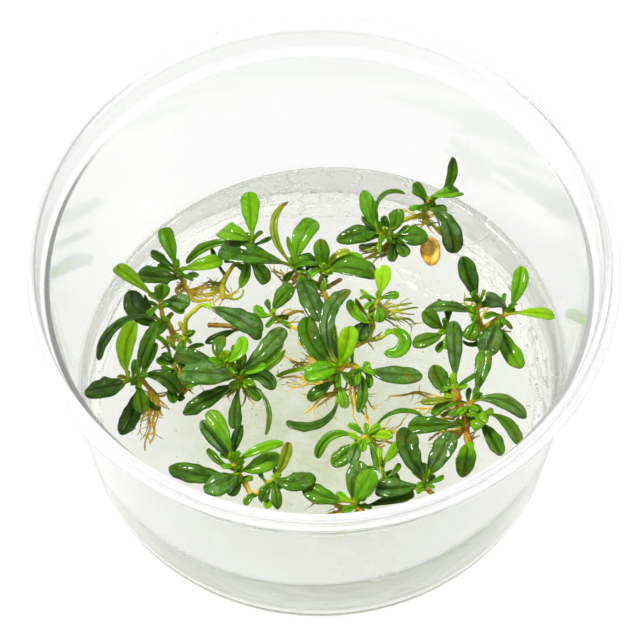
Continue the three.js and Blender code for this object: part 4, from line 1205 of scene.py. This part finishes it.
class Graph:
    """Short calls for the nodes of one material."""

    def __init__(self, material):
        self.nodes = material.node_tree.nodes
        self.links = material.node_tree.links

    def put(self, socket, value):
        if isinstance(value, bpy.types.NodeSocket):
            self.links.new(value, socket)
        else:
            socket.default_value = value

    def node(self, kind, *values):
        """A new node, whose first inputs take the values."""
        node = self.nodes.new("ShaderNode" + kind)
        for socket, value in zip(node.inputs, values):
            self.put(socket, value)
        return node

    def attribute(self, name):
        node = self.node("Attribute")
        node.attribute_name = name
        return node.outputs["Fac"]

    def place(self):
        return self.node("TexCoord").outputs["Object"]

    def combine(self, x, y, z):
        return self.node("CombineXYZ", x, y, z).outputs["Vector"]

    def math(self, operation, *values):
        node = self.node("Math", *values)
        node.operation = operation
        return node.outputs["Value"]

    def measure(self, operation, vector, other):
        node = self.node("VectorMath", vector, other)
        node.operation = operation
        return node.outputs["Value"]

    def times(self, product, *factors):
        for factor in factors:
            product = self.math("MULTIPLY", product, factor)
        return product

    def plus(self, total, *others):
        for other in others:
            total = self.math("ADD", total, other)
        return total

    def span(self, value, low, high, at_low=0.0, at_high=1.0):
        """Maps a value from one range to another, smoothly and held at its ends."""
        node = self.node("MapRange", value, low, high, at_low, at_high)
        node.interpolation_type = "SMOOTHSTEP"
        return node.outputs["Result"]

    def over_gel(self, low, high, at_low=0.0, at_high=1.0):
        """The same for the height over the gel's plane, in millimetres."""
        level = self.measure("DOT_PRODUCT", self.place(), (-GEL_SLOPE_X, -GEL_SLOPE_Y, 1))
        return self.span(level, MM * (GEL_LEVEL + low), MM * (GEL_LEVEL + high), at_low, at_high)

    def noise(self, place, scale, detail=3.0, roughness=0.55, shift=None):
        """Noise about 0.5, with a scale in lumps a metre and a shift that gives each leaf its own."""
        node = self.node("TexNoise", place)
        if shift is not None:
            node.noise_dimensions = "4D"
            self.put(node.inputs["W"], shift)
        node.inputs["Scale"].default_value = scale
        node.inputs["Detail"].default_value = detail
        node.inputs["Roughness"].default_value = roughness
        return node.outputs["Fac"]

    def mix(self, share, a, b):
        node = self.nodes.new("ShaderNodeMix")
        node.data_type = "RGBA"
        for name, value in (("Factor", share), ("A", a), ("B", b)):
            self.put(node.inputs[name], rgba(value))
        return node.outputs["Result"]

    def bump(self, height, distance, strength):
        """Relief as high as the distance, in metres, where the height is 1."""
        node = self.node("Bump")
        node.inputs["Strength"].default_value = strength
        node.inputs["Distance"].default_value = distance
        self.put(node.inputs["Height"], height)
        return node.outputs["Normal"]


def leaf_material(name, blade, deep, base, rib, bloom_and_sheen, bloom_and_sheen_amount, browning, roughness):
    """Blotched green with fine streaks along the blade, a coloured midrib, a darker edge, a pale base, a
    silvery bloom with painted sheen, stronger on the top side, and brown spots towards the tip."""
    material, shader = new_material(name, WET_FILM)
    graph = Graph(material)
    place = graph.place()
    along, across, side, seed = [graph.attribute(value) for value in VALUES]
    off_rib = graph.math("ABSOLUTE", across)
    lengthwise = graph.combine(graph.times(across, 13.0), graph.times(along, 2.0), graph.times(seed, 40.0))
    streaks = graph.noise(lengthwise, 1.0, 4, 0.6)
    blotches = graph.noise(place, 260, 3, 0.6, seed)
    grain = graph.noise(place, 1100, 2, 0.6)
    shade = graph.plus(
        graph.times(streaks, 0.35), graph.times(blotches, 0.45), graph.times(grain, 0.2),
        graph.times(graph.math("SUBTRACT", seed, 0.5), 0.16))
    colour = graph.mix(graph.span(shade, 0.4, 0.6), blade, deep)
    # Silvery bloom with painted sheen: off the midrib and the edge, past the base, in patches, and
    # strongest on the top side
    bloom_and_sheen_mask = graph.times(
        graph.span(off_rib, 0.1, 0.3), graph.span(off_rib, 0.95, 0.6), graph.span(along, 0.15, 0.45),
        graph.span(graph.noise(place, 520, 4, 0.7), 0.35, 0.7), graph.span(side, -0.1, 0.2, 0.2, 1.0))
    colour = graph.mix(graph.times(bloom_and_sheen_mask, bloom_and_sheen_amount), colour, bloom_and_sheen)
    colour = graph.mix(graph.span(off_rib, 0.8, 1.0, 0.0, 0.5), colour, deep)
    beside_rib = graph.times(graph.span(off_rib, 0.2, 0.06), graph.span(along, 0.95, 0.5, 0.0, 0.4))
    colour = graph.mix(beside_rib, colour, deep)
    on_rib = graph.times(graph.span(off_rib, 0.07, 0.02), graph.span(along, 0.98, 0.5, 0.0, 0.85))
    colour = graph.mix(graph.times(on_rib, graph.span(blotches, 0.7, 0.35, 0.3, 1.0)), colour, rib)
    colour = graph.mix(graph.span(along, 0.28, 0.1), colour, base)
    spots = graph.span(graph.noise(place, 330, 3, 0.65, seed), 0.54, 0.66)
    spots = graph.times(spots, graph.span(along, 0.45, 0.9), browning)
    graph.put(shader.inputs["Base Color"], graph.mix(spots, colour, linear(128, 88, 20)))
    graph.put(shader.inputs["Roughness"], graph.span(blotches, 0.3, 0.7, roughness - 0.05, roughness + 0.1))
    relief = graph.plus(graph.times(streaks, 0.7), graph.times(blotches, 0.9))
    graph.put(shader.inputs["Normal"], graph.bump(relief, 0.0004, 0.7))
    return material


def stem_material():
    """Olive to golden stems and roots, browner at their foot and in patches, each in its own shade."""
    material, shader = new_material("stem_and_root", {"Roughness": 0.32, "Specular IOR Level": 0.2})
    graph = Graph(material)
    place = graph.place()
    seed, along = graph.attribute("seed"), graph.attribute("along")
    olive, gold, amber = linear(142, 158, 30), linear(208, 176, 48), linear(184, 122, 22)
    brown, foot = linear(126, 84, 12), linear(174, 116, 22)
    patch, pale = linear(122, 72, 10), linear(168, 158, 38)
    shade = graph.plus(graph.times(seed, 0.75), graph.times(graph.noise(place, 160, 2), 0.25))
    colour = graph.mix(graph.span(shade, 0.15, 0.5), olive, gold)
    colour = graph.mix(graph.span(shade, 0.62, 0.8), colour, amber)
    colour = graph.mix(graph.span(shade, 0.78, 0.88), colour, brown)
    colour = graph.mix(graph.span(along, 0.2, 0.0, 0.0, 0.4), colour, foot)
    patches, pale_patches = graph.noise(place, 900, 3, 0.6), graph.noise(place, 760, 3, 0.6, seed)
    colour = graph.mix(graph.span(patches, 0.54, 0.68, 0.0, 0.75), colour, patch)
    colour = graph.mix(graph.span(pale_patches, 0.5, 0.64, 0.0, 0.85), colour, pale)
    graph.put(shader.inputs["Base Color"], colour)
    graph.put(shader.inputs["Normal"], graph.bump(graph.noise(place, 1200, 3), 0.00015, 0.8))
    return material


def withered_material():
    """Yellow tissue, brown at the edge and in blots, as a leaf that has died."""
    material, shader = new_material("leaf_withered", {"Roughness": 0.35, "Specular IOR Level": 0.2})
    graph = Graph(material)
    place = graph.place()
    straw, ochre, blot = linear(240, 206, 96), linear(228, 172, 40), linear(176, 112, 28)
    rim, tip = linear(150, 108, 28), linear(120, 84, 20)
    off_rib = graph.math("ABSOLUTE", graph.attribute("across"))
    colour = graph.mix(graph.span(graph.noise(place, 380, 3, 0.65), 0.35, 0.6), straw, ochre)
    colour = graph.mix(graph.span(graph.noise(place, 620, 4, 0.7), 0.54, 0.7, 0.0, 0.8), colour, blot)
    colour = graph.mix(graph.span(off_rib, 0.7, 1.0, 0.0, 0.7), colour, rim)
    colour = graph.mix(graph.span(graph.attribute("along"), 0.8, 1.0, 0.0, 0.5), colour, tip)
    graph.put(shader.inputs["Base Color"], colour)
    graph.put(shader.inputs["Normal"], graph.bump(graph.noise(place, 500, 4, 0.65), 0.0006, 0.8))
    return material


def tub_material(name, colour, roughness, transmission):
    """Slightly frosted plastic, clearer up to the gel's level."""
    material, shader = new_material(name, {"IOR": PLASTIC_IOR, "Transmission Weight": transmission})
    graph = Graph(material)
    graph.put(shader.inputs["Base Color"], graph.mix(graph.over_gel(*WET_FADE), colour, WET_PLASTIC))
    graph.put(shader.inputs["Roughness"], graph.over_gel(*WET_FADE, roughness, WET_ROUGHNESS))
    graph.put(shader.inputs["Normal"], graph.bump(graph.noise(graph.place(), 60, 2), 0.0001, 0.1))
    return material


def gel_material():
    """Clear gel, yellowish by its depth. Its surface carries painted shade and green light from the plants
    where they stand close, fainter in the pale wisps and specks, and it is rough in the torn cuts."""
    material, shader = new_material("gel", {"IOR": GEL_IOR, "Transmission Weight": 1.0})
    graph = Graph(material)
    output = graph.nodes["Material Output"]
    absorption = graph.node("VolumeAbsorption", rgba(GEL_ABSORPTION), GEL_DENSITY)
    graph.put(output.inputs["Volume"], absorption.outputs["Volume"])
    place = graph.place()
    torn = graph.span(graph.plus(graph.attribute("along"), graph.noise(place, 1100, 2)), 1.0, 1.55)
    off_ridge = graph.math("ABSOLUTE", graph.math("SUBTRACT", graph.noise(place, 75, 4, 0.65), 0.5))
    wispy = graph.span(graph.noise(place, 34, 2), 0.42, 0.6)
    wisps = graph.times(graph.span(off_ridge, 0.03, 0.004), wispy)
    specks = graph.span(graph.noise(place, 900, 1), 0.72, 0.78)
    marks = graph.math("MAXIMUM", torn, graph.math("MAXIMUM", wisps, specks))
    marks = graph.times(marks, graph.over_gel(*GEL_SURFACE))
    # Painted shade and green light from the plants: strongest round one point, in clouds, and faint in the
    # marks
    away = graph.measure("DISTANCE", place, tuple(MM * number for number in PAINTED_SHADE_CENTRE))
    clouds = graph.span(graph.noise(place, 190, 4, 0.7), 0.36, 0.62, 0.5, 1.0)
    painted_shade = graph.times(graph.span(away, MM * PAINTED_SHADE_REACH, MM * PAINTED_SHADE_HEART), clouds)
    painted_shade = graph.times(painted_shade, graph.span(marks, 0.0, 1.0, 1.0, 0.1))
    graph.put(shader.inputs["Base Color"], graph.mix(painted_shade, WHITE, PAINTED_SHADE_GREEN))
    graph.put(shader.inputs["Roughness"], graph.span(marks, 0.0, 1.0, GEL_ROUGHNESS, TORN_ROUGHNESS))
    graph.put(shader.inputs["Normal"], graph.bump(graph.noise(place, 240, 4), 0.0002, 0.45))
    return material


# Stage, light and camera

def make_stage():
    """A plain floor that glows a little, as paper lit from below does."""
    mesh = bpy.data.meshes.new("floor")
    corners = [(x * FLOOR_REACH, y * FLOOR_REACH, 0) for x, y in ((-1, -1), (1, -1), (1, 1), (-1, 1))]
    mesh.from_pydata(corners, [], [(0, 1, 2, 3)])
    material, _ = new_material("floor", {
        "Base Color": FLOOR_GREY, "Roughness": 0.9, "Specular IOR Level": 0.0,
        "Emission Color": WHITE, "Emission Strength": FLOOR_LIGHT})
    mesh.materials.append(material)
    add_to_scene("floor", mesh)


def area_light(name, place, size, power):
    """A round lamp that shines at the middle of the tub."""
    data = bpy.data.lights.new(name, "AREA")
    data.shape = "DISK"
    data.size = size
    data.energy = power
    light = add_to_scene(name, data)
    light.location = place
    x, y, z = np.subtract(LIT_POINT, place)
    light.rotation_euler = (math.atan2(math.hypot(x, y), -z), 0, math.atan2(y, x) - math.pi / 2)


def make_world():
    """A studio that is bright near the horizon, like a light tent, and dimmer overhead."""
    world = bpy.data.worlds.new("studio")
    world.use_nodes = True
    nodes, links = world.node_tree.nodes, world.node_tree.links
    split = nodes.new("ShaderNodeSeparateXYZ")
    links.new(nodes.new("ShaderNodeTexCoord").outputs["Generated"], split.inputs[0])
    fade = nodes.new("ShaderNodeMapRange")
    fade.interpolation_type = "SMOOTHSTEP"
    links.new(split.outputs["Z"], fade.inputs["Value"])
    numbers = (*HORIZON_SPAN, HORIZON_LIGHT, ZENITH_LIGHT)
    for name, number in zip(("From Min", "From Max", "To Min", "To Max"), numbers):
        fade.inputs[name].default_value = number
    links.new(fade.outputs["Result"], nodes["Background"].inputs["Strength"])
    nodes["Background"].inputs["Color"].default_value = rgba(WHITE)
    bpy.context.scene.world = world


def make_camera():
    data = bpy.data.cameras.new("camera")
    data.sensor_width = SENSOR_WIDTH
    data.lens = FOCAL_PIXELS / PHOTO_PIXELS * SENSOR_WIDTH
    data.clip_start = NEAREST_SEEN
    camera = add_to_scene("camera", data)
    camera.location = CAMERA_PLACE
    camera.rotation_euler = (math.radians(90 - CAMERA_DIP), 0, 0)
    bpy.context.scene.camera = camera


def main():
    make_camera()
    looks = {look: leaf_material(f"leaf_{look}", **tissue) for look, tissue in TISSUES.items()}
    stem = stem_material()
    for letter, roots in ROOTS.items():
        add_plantlet(letter, roots, looks, stem)
    withered = Shape()
    leaf(withered, on_gel(WITHERED_START), WITHERED_SHAPE, "withered", WITHERED_FIRST_SHARE, 0.0)
    withered.make("withered_blade", withered_material(), "leaf_withered", ["leaf_withered"])
    make_tub(*[tub_material(name, **plastic) for name, plastic in PLASTICS.items()])
    make_gel(gel_material())
    make_stage()
    make_world()
    area_light("key", **KEY_LIGHT)
    area_light("fill", **FILL_LIGHT)


main()
bpy.context.scene.view_settings.view_transform = "Standard"
bpy.context.scene.cycles.max_bounces = LIGHT_BOUNCES
bpy.context.scene.cycles.transmission_bounces = LIGHT_BOUNCES
